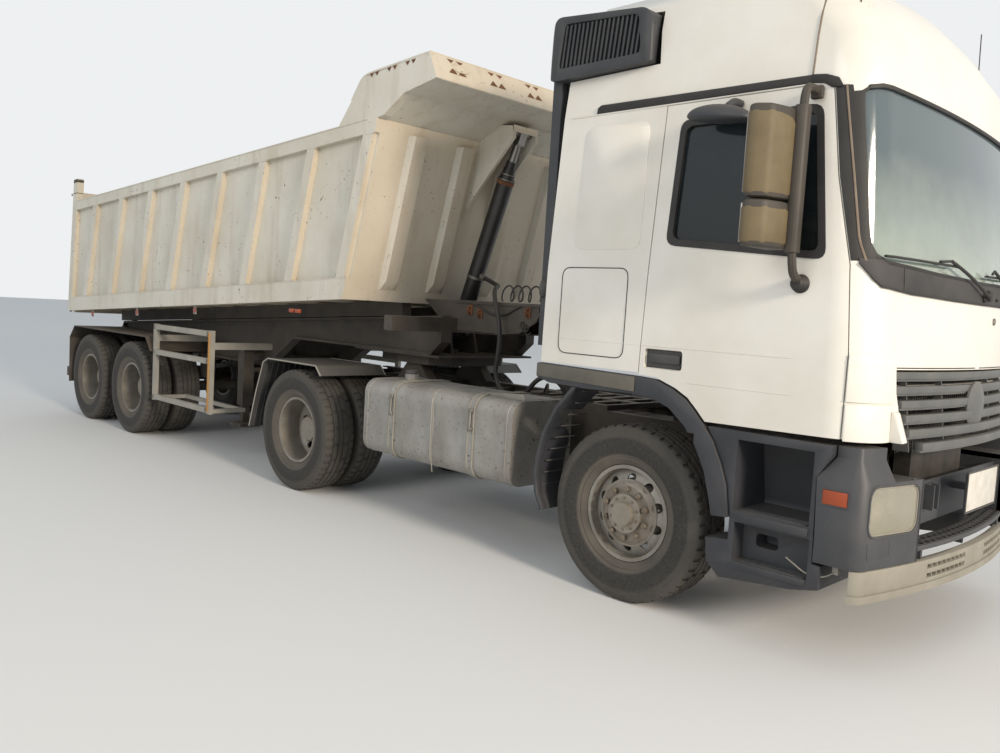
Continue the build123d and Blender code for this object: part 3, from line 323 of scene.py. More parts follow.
def wheel_finish(name, colour, worn, dust, speck, dusty, roughness, metallic, grain_mm, relief_mm, axle_x=None,
                 rings=()):
    """A finish for what turns: patches, specks, dust that has no up or down, and dust in rings round the axle."""
    material, tree, shader, place = surface(name)
    where = place.outputs["Object"]
    slow = add(tree, "TexNoise", {"Vector": where, "Scale": per_metre(180), "Detail": 5.0, "Roughness": 0.6})
    fine = add(tree, "TexNoise", {"Vector": where, "Scale": per_metre(18), "Detail": 4.0, "Roughness": 0.7})
    base = blended(tree, ramp(tree, slow.outputs["Fac"], 0.35, 0.65), linear(colour), linear(worn))
    if axle_x is not None:
        centred = add(tree, "Mapping", {"Vector": where, "Location": (-axle_x, 0, -AXLE_HEIGHT)})
        flat = add(tree, "VectorMath", {0: centred.outputs[0], 1: (1, 0, 1)}, operation="MULTIPLY")
        reach = add(tree, "VectorMath", {0: flat.outputs[0]}, operation="LENGTH").outputs["Value"]
        for low, high, soft, tone, strength in rings:
            inside = add(tree, "Math", {0: ramp(tree, reach, low - soft, low), 1: ramp(tree, reach, high + soft, high)},
                         operation="MULTIPLY")
            broken = add(tree, "MapRange", {"Value": slow.outputs["Fac"], "From Min": 0.3, "From Max": 0.7,
                                            "To Min": strength * 0.5, "To Max": strength})
            amount = add(tree, "Math", {0: inside.outputs[0], 1: broken.outputs["Result"]}, operation="MULTIPLY",
                         use_clamp=True)
            base = blended(tree, amount.outputs[0], base, linear(tone))
    veil = add(tree, "Math", {0: ramp(tree, fine.outputs["Fac"], 0.38, 0.72), 1: dusty}, operation="MULTIPLY")
    base = blended(tree, veil.outputs[0], base, linear(dust))
    base = blended(tree, ramp(tree, fine.outputs["Fac"], 0.68, 0.74), base, linear(speck))
    tree.links.new(base, shader.inputs["Base Color"])
    rough = add(tree, "MapRange", {"Value": slow.outputs["Fac"], "To Min": roughness - 0.1, "To Max": roughness + 0.1})
    tree.links.new(rough.outputs["Result"], shader.inputs["Roughness"])
    shader.inputs["Metallic"].default_value = metallic
    grain = add(tree, "TexNoise", {"Vector": where, "Scale": per_metre(grain_mm), "Detail": 3.0})
    bump = add(tree, "Bump", {"Height": grain.outputs["Fac"], "Distance": relief_mm / 1000, "Strength": 0.6})
    tree.links.new(bump.outputs["Normal"], shader.inputs["Normal"])
    return material


tyre_rings = (
    # from, to, softness in metres, colour, amount
    (0.300, 0.352, 0.012, "6b645a", 0.75), (0.372, 0.455, 0.02, "242424", 0.55), (0.470, 0.540, 0.02, "57534d", 0.60),
)
wheel_rings = (
    (0.0, 0.125, 0.02, "857a6c", 0.55), (0.135, 0.195, 0.02, "5d4a3a", 0.65), (0.262, 0.285, 0.01, "6b6257", 0.60),
)
axle_places = (("front", 0.0), ("drive", -3.6), ("trailer_front", -7.17), ("trailer_rear", -8.44))
for stem, x in axle_places:
    look[f"tyre_rubber_{stem}"] = wheel_finish(f"tyre_rubber_{stem}", "2b2a29", "353331", "575249", "6a645a", 0.35, 0.85,
                                               0.0, 7, 0.8, x + FRONT_AXLE_X, tyre_rings)
    look[f"wheel_steel_{stem}"] = wheel_finish(f"wheel_steel_{stem}", "a3a19a", "8f8b82", "7d7263", "4f4033", 0.45,
                                               0.55, 0.35, 9, 0.5, x + FRONT_AXLE_X, wheel_rings)
look["hub_steel_brown"] = wheel_finish("hub_steel_brown", "7f776b", "6b5e50", "8d8273", "4a3a2e", 0.50, 0.60,
                                       0.40, 9, 0.6)
look["chromed_rod"] = wheel_finish("chromed_rod", "9a9896", "8b8885", "7c756b", "6a5f52", 0.25, 0.30, 0.9, 30, 0.2)
print("Wheel finishes made for", len(axle_places), "axles")

# %% [markdown]
# The fuel tank is brushed aluminium sheet: fine lines run along it, and dust with water runs has dulled it. Glass is
# a thin tinted pane that lets the inside show; the windscreen lets less through, and its pale lower part is partly dust
# and partly a painted reflection. Lamp lenses are clear, yellowed and ribbed. Seats are woven.

# %% Tank, glass, lenses and seat cloth
material, tree, shader, place = surface("brushed_aluminium_tank")
where = place.outputs["Object"]
lines = add(tree, "Mapping", {"Vector": where, "Scale": (3.0, 260.0, 260.0)})
brushed = add(tree, "TexNoise", {"Vector": lines.outputs[0], "Scale": 1.0, "Detail": 3.0})
runs = add(tree, "Mapping", {"Vector": where, "Scale": (4.0, 4.0, 2.2)})
dirt = add(tree, "TexNoise", {"Vector": runs.outputs[0], "Scale": 1.0, "Detail": 6.0, "Roughness": 0.65})
base = blended(tree, ramp(tree, dirt.outputs["Fac"], 0.30, 0.66), linear("a5a39e"), linear("8a8680"))
splash = add(tree, "TexNoise", {"Vector": where, "Scale": per_metre(26), "Detail": 4.0})
base = blended(tree, ramp(tree, splash.outputs["Fac"], 0.62, 0.72), base, linear("5f574b"))
tree.links.new(base, shader.inputs["Base Color"])
shader.inputs["Metallic"].default_value = 0.45
rough = add(tree, "MapRange", {"Value": brushed.outputs["Fac"], "To Min": 0.48, "To Max": 0.66})
tree.links.new(rough.outputs["Result"], shader.inputs["Roughness"])
bump = add(tree, "Bump", {"Height": dirt.outputs["Fac"], "Distance": 0.008, "Strength": 0.35})
tree.links.new(bump.outputs["Normal"], shader.inputs["Normal"])
look["brushed_aluminium_tank"] = material


def clear_pane(name, tint, roughness, low_tint, dusty, ripple_mm, clear=1.0, low_z=0.0, high_z=1.0):
    """Glass or clear plastic with uneven dust, whose colour changes from one height down to another; on the windscreen
    that pale low colour is partly dust and partly painted reflection.
    """
    material, tree, shader, place = surface(name)
    where = place.outputs["Object"]
    shader.inputs["Transmission Weight"].default_value = clear
    shader.inputs["IOR"].default_value = 1.45
    veil = add(tree, "TexNoise", {"Vector": where, "Scale": per_metre(220), "Detail": 5.0, "Roughness": 0.65})
    height = add(tree, "SeparateXYZ", {0: where}).outputs["Z"]
    uneven = add(tree, "Math", {0: veil.outputs["Fac"], 1: 0.25, 2: height}, operation="MULTIPLY_ADD")
    base = blended(tree, ramp(tree, uneven.outputs[0], low_z, high_z), linear(low_tint), linear(tint))
    tree.links.new(base, shader.inputs["Base Color"])
    rough = add(tree, "MapRange", {"Value": veil.outputs["Fac"], "To Min": roughness, "To Max": roughness + dusty})
    tree.links.new(rough.outputs["Result"], shader.inputs["Roughness"])
    ripple = add(tree, "TexNoise", {"Vector": where, "Scale": per_metre(ripple_mm), "Detail": 1.0})
    bump = add(tree, "Bump", {"Height": ripple.outputs["Fac"], "Distance": 0.0006, "Strength": 0.2})
    tree.links.new(bump.outputs["Normal"], shader.inputs["Normal"])
    return material


look["tinted_door_glass"] = clear_pane("tinted_door_glass", "56626a", 0.02, "4a524f", 0.10, 300, 0.85, 2.1, 2.7)
# The windscreen's pale low colour and its lower transmission are partly dust and partly a painted reflection of the
# sky.
look["windscreen_glass"] = clear_pane("windscreen_glass", "7d8c92", 0.02, "c9d6cc", 0.10, 400, 0.55, 2.2, 2.75)
look["headlamp_lens"] = clear_pane("headlamp_lens", "dedac9", 0.06, "c9c2a6", 0.20, 12, 0.72, 0.75, 0.95)
look["amber_lens"] = clear_pane("amber_lens", "b5532f", 0.20, "a34c30", 0.20, 8, 0.30)

material, tree, shader, place = surface("woven_seat_cloth")
threads = add(tree, "TexWave", {"Vector": place.outputs["Object"], "Scale": per_metre(24), "Distortion": 0.6})
tone = add(tree, "TexNoise", {"Vector": place.outputs["Object"], "Scale": per_metre(70), "Detail": 4.0})
base = blended(tree, ramp(tree, tone.outputs["Fac"], 0.35, 0.7), linear("3a3a40"), linear("55555c"))
tree.links.new(base, shader.inputs["Base Color"])
shader.inputs["Roughness"].default_value = 0.92
shader.inputs["Sheen Weight"].default_value = 0.3
bump = add(tree, "Bump", {"Height": threads.outputs["Fac"], "Distance": 0.001, "Strength": 0.5})
tree.links.new(bump.outputs["Normal"], shader.inputs["Normal"])
look["woven_seat_cloth"] = material
print("Finishes in all:", len(look))

# %% Give each solid its finish
by_slot = {
    "cab_white": "gloss_white_cab_paint", "tipper_cream": "cream_tipper_paint",
    "chassis_black": "chassis_paint_dusty", "dark_plastic": "moulded_black_plastic",
    "bumper_grey": "moulded_dark_grey_plastic", "valance_beige": "sun_bleached_valance",
    "grille_grey": "moulded_grey_grille", "lamp_lens": "headlamp_lens", "window_glass": "tinted_door_glass",
    "tyre_rubber": "tyre_rubber_front", "wheel_silver": "wheel_steel_front",
    "tank_aluminium": "brushed_aluminium_tank", "guard_grey": "weathered_guard_paint",
    "cylinder_black": "black_lacquered_cylinder", "cylinder_steel": "chromed_rod",
    "seat_fabric": "woven_seat_cloth", "dash_plastic": "dashboard_grained_plastic",
    "mirror_brown": "mirror_housing_plastic", "hose_rubber": "hose_rubber", "engine_iron": "cast_iron_oiled",
    "radiator_fins": "cooler_fins",
}
for part in frame["record"]["subparts"]:
    solid = cad_nodes[part["node"]]
    solid.data.materials.clear()
    solid.data.materials.append(look[by_slot[part["material_slot"]]])
cad_nodes["windscreen"].data.materials[0] = look["windscreen_glass"]
for stem, x in axle_places:
    rim = "front_rim" if stem == "front" else f"{stem}_rims"
    for tag in "lr":
        cad_nodes[f"{rim}_{tag}"].data.materials[0] = look[f"wheel_steel_{stem}"]

# %% [markdown]
# ## Tools for making pieces
# Each new piece starts as a primitive or a flat outline, is shaped in edit mode and then finished: its place goes
# into its mesh, its faces turn outward, and it rides on the body that carries it. Sizes are given in millimetres
# from the front axle, the same numbers a workshop drawing would have.

# %% Selecting, starting and finishing a piece
def alone(piece):
    """Selects one piece and nothing else, and makes it the active one."""
    bpy.ops.object.select_all(action="DESELECT")
    piece.select_set(True)
    bpy.context.view_layer.objects.active = piece


def outward(piece, merge=0.0001):
    """Merges doubled points and turns every face outward."""
    alone(piece)
    bpy.ops.object.mode_set(mode="EDIT")
    bpy.ops.mesh.select_all(action="SELECT")
    bpy.ops.mesh.remove_doubles(threshold=merge)
    bpy.ops.mesh.normals_make_consistent(inside=False)
    bpy.ops.object.mode_set(mode="OBJECT")


def finished(piece, finish, body, smooth=35.0):
    """Paints a piece, applies its place, smooths it and lets it ride on its body."""
    alone(piece)
    bpy.ops.object.transform_apply(location=True, rotation=True, scale=True)
    piece.data.materials.clear()
    piece.data.materials.append(look[finish])
    if smooth:
        bpy.ops.object.shade_smooth_by_angle(angle=math.radians(smooth))
    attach(piece, body)
    return piece


def joined(name, pieces):
    """Several pieces made into one mesh."""
    bpy.ops.object.select_all(action="DESELECT")
    for piece in pieces:
        piece.select_set(True)
    bpy.context.view_layer.objects.active = pieces[0]
    if len(pieces) > 1:
        bpy.ops.object.join()
    pieces[0].name = name
    pieces[0].data.name = name
    return pieces[0]


def copied_by(piece, move=(0, 0, 0), turn=None):
    """A copy with its own mesh, moved in metres or turned by a matrix."""
    twin = piece.copy()
    twin.data = piece.data.copy()
    bpy.context.scene.collection.objects.link(twin)
    twin.data.transform(turn if turn is not None else Matrix.Translation(move))
    return twin


def mirrored(piece):
    """The same piece for the other side of the lorry, with its faces turned out again."""
    twin = copied_by(piece, turn=Matrix.Scale(-1, 4, (0, 1, 0)))
    outward(twin)
    return twin


print("Tools ready")


# %% Blocks, outlines, rods and turned pieces
def block(name, low, high, round_mm=4.0, steps=2):
    """A box between two corners, with all its edges rounded."""
    a, b = at(*low), at(*high)
    bpy.ops.object.select_all(action="DESELECT")
    bpy.ops.mesh.primitive_cube_add(size=1, location=(a + b) / 2, scale=[abs(v) for v in b - a])
    piece = bpy.context.object
    piece.name = name
    bpy.ops.object.transform_apply(location=True, rotation=True, scale=True)
    if round_mm:
        bpy.ops.object.mode_set(mode="EDIT")
        bpy.ops.mesh.select_all(action="SELECT")
        bpy.ops.mesh.bevel(offset=round_mm / 1000, segments=steps, affect="EDGES")
        bpy.ops.object.mode_set(mode="OBJECT")
    return piece


def plate(name, outline, thickness, round_mm=0.0):
    """A flat outline of points, extruded by a thickness vector in mm, with rounded edges if asked."""
    mesh = bpy.data.meshes.new(name)
    mesh.from_pydata([at(*p) for p in outline], [], [range(len(outline))])
    piece = bpy.data.objects.new(name, mesh)
    bpy.context.scene.collection.objects.link(piece)
    alone(piece)
    bpy.ops.object.mode_set(mode="EDIT")
    bpy.ops.mesh.select_all(action="SELECT")
    bpy.ops.mesh.extrude_region_move(TRANSFORM_OT_translate={"value": [v / 1000 for v in thickness]})
    bpy.ops.mesh.select_all(action="SELECT")
    bpy.ops.mesh.normals_make_consistent(inside=False)
    if round_mm:
        bpy.ops.mesh.bevel(offset=round_mm / 1000, segments=2, affect="EDGES", clamp_overlap=True)
    bpy.ops.object.mode_set(mode="OBJECT")
    return piece


def rod(name, places, radius_mm, curved=False, sides=2):
    """A round bar, wire or pipe through places, straight or in one smooth curve."""
    curve = bpy.data.curves.new(name, "CURVE")
    curve.dimensions = "3D"
    spline = curve.splines.new("NURBS" if curved else "POLY")
    spline.points.add(len(places) - 1)
    for point, place in zip(spline.points, places):
        point.co = (*at(*place), 1.0)
    if curved:
        spline.order_u = 3
        spline.use_endpoint_u = True
        spline.resolution_u = 5
    curve.bevel_depth = radius_mm / 1000
    curve.bevel_resolution = sides
    curve.use_fill_caps = True
    piece = bpy.data.objects.new(name, curve)
    bpy.context.scene.collection.objects.link(piece)
    alone(piece)
    bpy.ops.object.convert(target="MESH")
    return bpy.context.object


def turned_piece(name, profile, middle, steps=48, axis=(0, 1, 0)):
    """A profile of (radius, along) in mm, spun about an axis through a middle given in mm."""
    along = Vector(axis)
    out = Vector((0, 0, 1)) if abs(along.z) < 0.9 else Vector((1, 0, 0))
    centre = at(*middle)
    points = [centre + out * (r / 1000) + along * (a / 1000) for r, a in profile]
    mesh = bpy.data.meshes.new(name)
    mesh.from_pydata(points, [(i, i + 1) for i in range(len(points) - 1)], [])
    piece = bpy.data.objects.new(name, mesh)
    bpy.context.scene.collection.objects.link(piece)
    alone(piece)
    bpy.ops.object.mode_set(mode="EDIT")
    bpy.ops.mesh.select_all(action="SELECT")
    bpy.ops.mesh.spin(steps=steps, angle=2 * math.pi, center=centre, axis=along)
    bpy.ops.object.mode_set(mode="OBJECT")
    outward(piece)
    return piece


def hexagon(name, middle, across, height, axis=(0, 1, 0)):
    """A nut or bolt head standing on a face: a six-sided start with its rim chamfered and its stud inset."""
    along = Vector(axis).normalized()
    bpy.ops.object.select_all(action="DESELECT")
    bpy.ops.mesh.primitive_cylinder_add(vertices=6, radius=across / 2000, depth=height / 1000,
                                        location=at(*middle) + along * (height / 2000),
                                        rotation=along.to_track_quat("Z", "Y").to_euler())
    piece = bpy.context.object
    piece.name = name
    bpy.ops.object.transform_apply(location=True, rotation=True, scale=True)
    bpy.ops.object.mode_set(mode="EDIT")
    bpy.ops.mesh.select_all(action="DESELECT")
    bpy.ops.object.mode_set(mode="OBJECT")
    for face in piece.data.polygons:
        face.select = face.normal.dot(along) > 0.9
    bpy.ops.object.mode_set(mode="EDIT")
    bpy.ops.mesh.inset(thickness=across / 9000, depth=height / 9000)
    bpy.ops.mesh.inset(thickness=across / 9000)
    bpy.ops.mesh.extrude_region_shrink_fatten(TRANSFORM_OT_shrink_fatten={"value": height / 4000})
    bpy.ops.object.mode_set(mode="OBJECT")
    return piece


print("Makers ready")

# %% [markdown]
# ## Tyres
# A lorry tyre is a turned shape with a pattern cut into it. The profile, with its bead, bulging wall, shoulder ribs
# and four grooves round the tread, is spun about the axle. Then every third face of the shoulder rows is pushed in,
# which cuts the cross grooves between the blocks. One tyre is made and copied to all the places.

# %% One tyre, then fourteen
TYRE_RADIUS = 538.0
TYRE_STEPS = 144
half_profile = [
    # radius, distance from the middle plane
    (296, 108), (318, 126), (330, 133), (338, 131), (346, 137), (380, 147), (430, 151), (466, 149), (484, 145),
    (490, 147), (498, 144), (512, 141), (526, 134), (536, 118), (538, 84), (527, 82), (527, 72), (538, 70),
    (538, 30), (527, 28), (527, 18), (538, 16),
]
profile = [(r, a) for r, a in half_profile] + [(r, -a) for r, a in reversed(half_profile)]
tyre_one = turned_piece("tyre_one", profile + [profile[0]], (0, 0, TYRE_RADIUS), TYRE_STEPS)
centre = at(0, 0, TYRE_RADIUS)
bpy.ops.object.mode_set(mode="EDIT")
bpy.ops.mesh.select_all(action="DESELECT")
bpy.ops.object.mode_set(mode="OBJECT")
for face in tyre_one.data.polygons:
    arm = face.center - centre
    reach = math.hypot(arm.x, arm.z) * 1000
    step = round(math.atan2(arm.z, arm.x) / (2 * math.pi) * TYRE_STEPS - 0.5)
    across = abs(arm.y) * 1000
    shoulder = across > 86 and reach > 520 and (step + (1 if arm.y > 0 else 0)) % 3 == 0
    inner_block = 30 < across < 70 and reach > 534 and step % 6 == 1
    face.select = shoulder or inner_block
bpy.ops.object.mode_set(mode="EDIT")
bpy.ops.mesh.extrude_region_shrink_fatten(TRANSFORM_OT_shrink_fatten={"value": -0.009})
bpy.ops.object.mode_set(mode="OBJECT")
outward(tyre_one)
print("Faces in one tyre:", len(tyre_one.data.polygons))

axle_rows = (
    # body stem, node stem, x from the front axle, middles of the tyres on one side
    ("front_wheel", "front_tyre", 0.0, (1040.0,)),
    ("drive_wheels", "drive_tyres", -3600.0, (1078.0, 732.0)),
    ("trailer_front_wheels", "trailer_front_tyres", -7170.0, (1078.0, 732.0)),
    ("trailer_rear_wheels", "trailer_rear_tyres", -8440.0, (1078.0, 732.0)),
)
turn_on = 0
for body, node, x, middles in axle_rows:
    for tag, side in (("l", 1), ("r", -1)):
        rounds = []
        for y in middles:
            turn_on += 17
            angle = Matrix.Rotation(math.radians(turn_on), 4, "Y")
            place = Matrix.Translation(at(x, side * y, TYRE_RADIUS)) @ angle @ Matrix.Translation(-centre)
            rounds.append(copied_by(tyre_one, turn=place))
        piece = joined(f"{node}_treaded_{tag}", rounds)
        finished(piece, "tyre_rubber_" + node.replace("_tyres", "").replace("_tyre", ""),
                 f"{body}_{tag}", 40.0)
        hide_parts(f"{node}_{tag}")
bpy.data.objects.remove(tyre_one)
print("Tyres placed on", len(axle_rows), "axles")

# %% [markdown]
# ## Wheel nuts and hubs
# Ten nuts hold each wheel. A nut starts as a six-sided cylinder; its top is inset and the stud drawn out of it. The
# front hub has a brown, oily flange with small bolts and a round cap. The trailer and drive hubs have a flange too.

# %% Nuts, hub bolts and valve stems
def ring_of(piece, middle, count, first=0.0):
    """Copies of a piece turned about a wheel's axle, the piece itself as the first of them."""
    centre = at(*middle)
    copies = [piece]
    for i in range(1, count):
        turn = Matrix.Rotation(math.radians(first + 360 / count * i), 4, "Y")
        copies.append(copied_by(piece, turn=Matrix.Translation(centre) @ turn @ Matrix.Translation(-centre)))
    return copies


for body, node, x, middles in axle_rows:
    for tag, side in (("l", 1), ("r", -1)):
        front = body == "front_wheel"
        nut_y = side * (1144.0 if front else 929.0)
        nut_ring = 150.0 if front else 128.0
        cap_y = side * (1162.0 if front else 1055.0)
        cap_ring = 98.0 if front else 92.0
        axle = (x, 0, TYRE_RADIUS)
        nut = hexagon("nut", (x, nut_y, TYRE_RADIUS + nut_ring), 36, 26, (0, side, 0))
        nuts = joined(f"{body}_nuts_{tag}", ring_of(nut, axle, 10))
        finished(nuts, "hub_steel_brown", f"{body}_{tag}", 30.0)
        bolt = hexagon("bolt", (x, cap_y, TYRE_RADIUS + cap_ring), 20, 11, (0, side, 0))
        flange = turned_piece("flange", [(66, 0), (116, 0), (117, 2.5), (110, 6), (70, 6), (66, 0)],
                              (x, cap_y - side * 1, TYRE_RADIUS), 40, (0, side, 0))
        hub = joined(f"{body}_hub_bolts_{tag}", ring_of(bolt, axle, 10) + [flange])
        finished(hub, "hub_steel_brown", f"{body}_{tag}", 30.0)
        valve = rod(f"{body}_valve_{tag}", [(x + 215, nut_y - side * 40, TYRE_RADIUS + 60),
                                            (x + 235, nut_y - side * 5, TYRE_RADIUS + 66),
                                            (x + 243, nut_y + side * 25, TYRE_RADIUS + 68)], 5, True)
        finished(valve, "zinc_plated_steel", f"{body}_{tag}", 40.0)
print("Nuts, hub bolts and valves on", 2 * len(axle_rows), "wheels")

# %% [markdown]
# ## Forms cut from forms
# The cab, the roof, the bumper and the arches are thin shells with openings. Each starts as a loft through plan
# outlines or as an extruded outline, and boolean modifiers cut the inside, the doors and the windows out of it.

# %% Lofts, extruded outlines and cuts
def steps_between(start, end, count):
    return [start + (end - start) * i / (count - 1) for i in range(count)]


def section(z, rear, front, half, bow, corner, inset=0.0):
    """One plan outline: straight sides and back, a round corner each side and a bowed front."""
    rear, front, half = rear + inset, front - inset, half - inset
    start, edge = front - bow - corner, half - corner
    radius = (edge ** 2 + bow ** 2) / (2 * bow)
    right = [(rear, -half)] + [(start + corner * math.sin(i * math.pi / 20), -edge - corner * math.cos(i * math.pi / 20))
                               for i in range(11)]
    nose = [(front - radius + math.sqrt(radius ** 2 - y * y), y) for y in steps_between(-edge, edge, 31)[1:-1]]
    return [(x, y, z) for x, y in right + nose + [(x, -y) for x, y in reversed(right)]]


def lofted(name, rings):
    """A closed form through rings of equal count, straight between them."""
    count = len(rings[0])
    faces = [(r * count + i, r * count + (i + 1) % count, (r + 1) * count + (i + 1) % count, (r + 1) * count + i)
             for r in range(len(rings) - 1) for i in range(count)]
    faces += [tuple(range(count)), tuple(range((len(rings) - 1) * count, len(rings) * count))]
    mesh = bpy.data.meshes.new(name)
    mesh.from_pydata([at(*p) for ring in rings for p in ring], [], faces)
    piece = bpy.data.objects.new(name, mesh)
    bpy.context.scene.collection.objects.link(piece)
    outward(piece)
    return piece


def changed(piece, way, *tools):
    """Cuts tools out of a piece, or keeps what it has in common with them."""
    for tool in tools:
        alone(piece)
        change = piece.modifiers.new("change", "BOOLEAN")
        change.object = tool
        change.operation = way
        change.solver = "EXACT"
        bpy.ops.object.modifier_apply(modifier="change")
        bpy.data.objects.remove(tool)
    return piece


def cut(piece, *tools):
    return changed(piece, "DIFFERENCE", *tools)


def common(piece, *tools):
    return changed(piece, "INTERSECT", *tools)


def side_form(name, outline, y0, y1):
    """A side view outline of (x, z) points, carried across from y0 to y1."""
    return plate(name, [(x, y0, z) for x, z in outline], (0, y1 - y0, 0))


def front_form(name, outline, x0, x1):
    """A front view outline of (y, z) points, carried along from x0 to x1."""
    return plate(name, [(x0, y, z) for y, z in outline], (x1 - x0, 0, 0))


def plan_form(name, outline, z0, z1):
    """A plan outline of (x, y) points, carried up from z0 to z1."""
    return plate(name, [(x, y, z0) for x, y in outline], (0, 0, z1 - z0))


def box_form(x, y, z):
    return block("box", (x[0], min(y), z[0]), (x[1], max(y), z[1]), 0)


def rounded(points, radius, count=5):
    """A closed outline with its corners turned into curves."""
    out = []
    for i, corner in enumerate(points):
        here = Vector(corner)
        before, after = Vector(points[i - 1]), Vector(points[(i + 1) % len(points)])
        a = here + (before - here).normalized() * min(radius, (before - here).length * 0.45)
        b = here + (after - here).normalized() * min(radius, (after - here).length * 0.45)
        for k in range(count):
            t = k / (count - 1)
            out.append(tuple(a * (1 - t) ** 2 + here * 2 * t * (1 - t) + b * t ** 2))
    return out


def widened(points, by):
    """A closed outline moved outward by a distance, corner by corner."""
    area = sum(a[0] * b[1] - b[0] * a[1] for a, b in zip(points, points[1:] + points[:1]))
    sign = 1 if area > 0 else -1
    out = []
    for i, corner in enumerate(points):
        here = Vector(corner)
        first = (here - Vector(points[i - 1])).normalized()
        second = (Vector(points[(i + 1) % len(points)]) - here).normalized()
        a = Vector((first.y, -first.x)) * sign
        b = Vector((second.y, -second.x)) * sign
        out.append(tuple(here + (a + b) * by / (1 + a.dot(b))))
    return out


def eased(piece, width_mm, angle=40.0):
    """Softens the sharp edges of a cut form."""
    alone(piece)
    edge = piece.modifiers.new("edge", "BEVEL")
    edge.width = width_mm / 1000
    edge.segments = 2
    edge.limit_method = "ANGLE"
    edge.angle_limit = math.radians(angle)
    bpy.ops.object.modifier_apply(modifier="edge")
    return piece


print("Form tools ready")

# %% [markdown]
# ## The cab
# The cab narrows a little toward its top and its front leans back, so it is a loft through four plan outlines. A
# second loft 50 mm inside it hollows it. The doors come from the same wall, with a 6 mm gap all round, and their
# lower edge follows the wheel arch. Two panels stand proud at each front corner, and the lower one flares forward.

# %% Cab shell with its floor and corner panels
cab_rows = (
    # height, rear, front, half width, bow
    (1100, -680, 1525, 1238, 90), (1560, -675, 1513, 1247, 92), (1990, -668, 1500, 1245, 93),
    (2930, -630, 1362, 1215, 50),
)
CORNER = 230.0
CAB_WALL = 50.0
CAB_FLOOR = 1400.0


def cab_form(inset, past=0.0):
    """The cab's outer form or one inside it, with its ends drawn out by some mm for a clean cut."""
    rings = [section(z, rear, front, half, bow, CORNER, inset) for z, rear, front, half, bow in cab_rows]
    if past:
        rings[0] = [(x, y, z - past) for x, y, z in rings[0]]
        rings[-1] = [(x, y, z + past) for x, y, z in rings[-1]]
    return lofted("cab_form", rings)


low_edge = [(83, 1387), (211, 1380), (328, 1340), (424, 1288), (483, 1232), (542, 1170)]
door_edge = low_edge + [(1290, 1183), (1292, 1600), (1262, 2031), (1168, 2460), (1100, 2918), (137, 2918)]
window = [(226, 2149), (1128, 2073), (1044, 2806), (258, 2808)]
screen_edge = [(-1174, 2150), (-1150, 2085), (-1090, 2052), (-590, 2026), (0, 2016), (590, 2026), (1090, 2052),
               (1150, 2085), (1174, 2150), (1174, 2860), (1150, 2892), (1110, 2904), (-1110, 2904), (-1150, 2892),
               (-1174, 2860)]
grille_edge = [(-838, 1080), (838, 1080), (955, 1420), (968, 1536), (-968, 1536), (-955, 1420)]
under_door = [(x, z + 3) for x, z in reversed(low_edge)]
skirt = [(-780, 1000), (1300, 1000), (1300, 1188), (1290, 1186)] + under_door + [(83, CAB_FLOOR), (-780, CAB_FLOOR)]

shell = cab_form(0)
cut(shell, cab_form(CAB_WALL, 20), side_form("skirt", skirt, -1400, 1400),
    side_form("doors", widened(door_edge, 3), -1400, 1400), front_form("screen", screen_edge, 1000, 1700),
    front_form("opening", grille_edge, 1300, 1700), box_form((1200, 1700), (-1400, 1400), (1000, 1178)))
floor_ring = [(x, y) for x, y, z in section(0, -678, 1500, 1240, 92, CORNER, CAB_WALL - 1)]
parts = [shell, plan_form("floor", floor_ring, CAB_FLOOR, CAB_FLOOR + 50)]
flare = rounded([(1440, 1178), (1512, 1178), (1504, 1202), (1462, 1330), (1440, 1330)], 16)
for side in (1, -1):
    for inner, low, high in ((985, 1372, 1600), (948, 1178, 1360)):
        panel = common(cab_form(-9), box_form((1302, 1700), (side * inner, side * 1400), (low, high)))
        cut(panel, cab_form(2, 20))
        parts.append(eased(panel, 5))
    parts.append(eased(side_form("flare", flare, side * 950, side * 1012), 6))
finished(joined("cab_body", parts), "gloss_white_cab_paint", "cab", 28)
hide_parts("cab_shell")
print("Cab body made")

# %% Doors and windscreen
for tag, side in (("l", 1), ("r", -1)):
    door = side_form(f"door_panel_{tag}", widened(door_edge, -3), side * 900, side * 1300)
    common(door, cab_form(0))
    cut(door, cab_form(CAB_WALL, 20), side_form("window", rounded(window, 44), side * 850, side * 1400),
        side_form("recess", rounded([(118, 1431), (375, 1431), (375, 1545), (118, 1545)], 24), side * 1222, side * 1300))
    finished(door, "gloss_white_cab_paint", f"door_{tag}", 28)
    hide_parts(f"door_{tag}")
glass = cab_form(12)
cut(glass, cab_form(18, 20))
common(glass, front_form("screen", widened(screen_edge, -1), 1000, 1700))
finished(glass, "windscreen_glass", "cab", 28)
glass.name = "windscreen_pane"
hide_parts("windscreen")
print("Doors and windscreen made")

# %% High roof and air intake
roof_rows = (
    # height, rear, front, half width, bow, corner
    (2930, -630, 1362, 1215, 50, 230), (3160, -625, 1352, 1188, 60, 230), (3370, -615, 1225, 1150, 95, 240),
    (3530, -590, 1080, 1092, 120, 260), (3640, -530, 920, 980, 130, 280), (3700, -400, 640, 760, 120, 280),
)


def roof_form(inset, lift):
    return lofted("roof_form", [section(z - (lift if z > 2930 else 0) - (20 if lift and z == 2930 else 0), rear, front,
                                        half, bow, corner, inset) for z, rear, front, half, bow, corner in roof_rows])


roof = roof_form(0, 0)
cut(roof, roof_form(CAB_WALL, 40),
    side_form("intake_space", [(-790, 3150), (45, 3170), (-5, 3495), (-745, 3562)], -1400, -979))
finished(roof, "gloss_white_cab_paint", "cab", 40)
roof.name = "roof_moulding"
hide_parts("cab_roof")

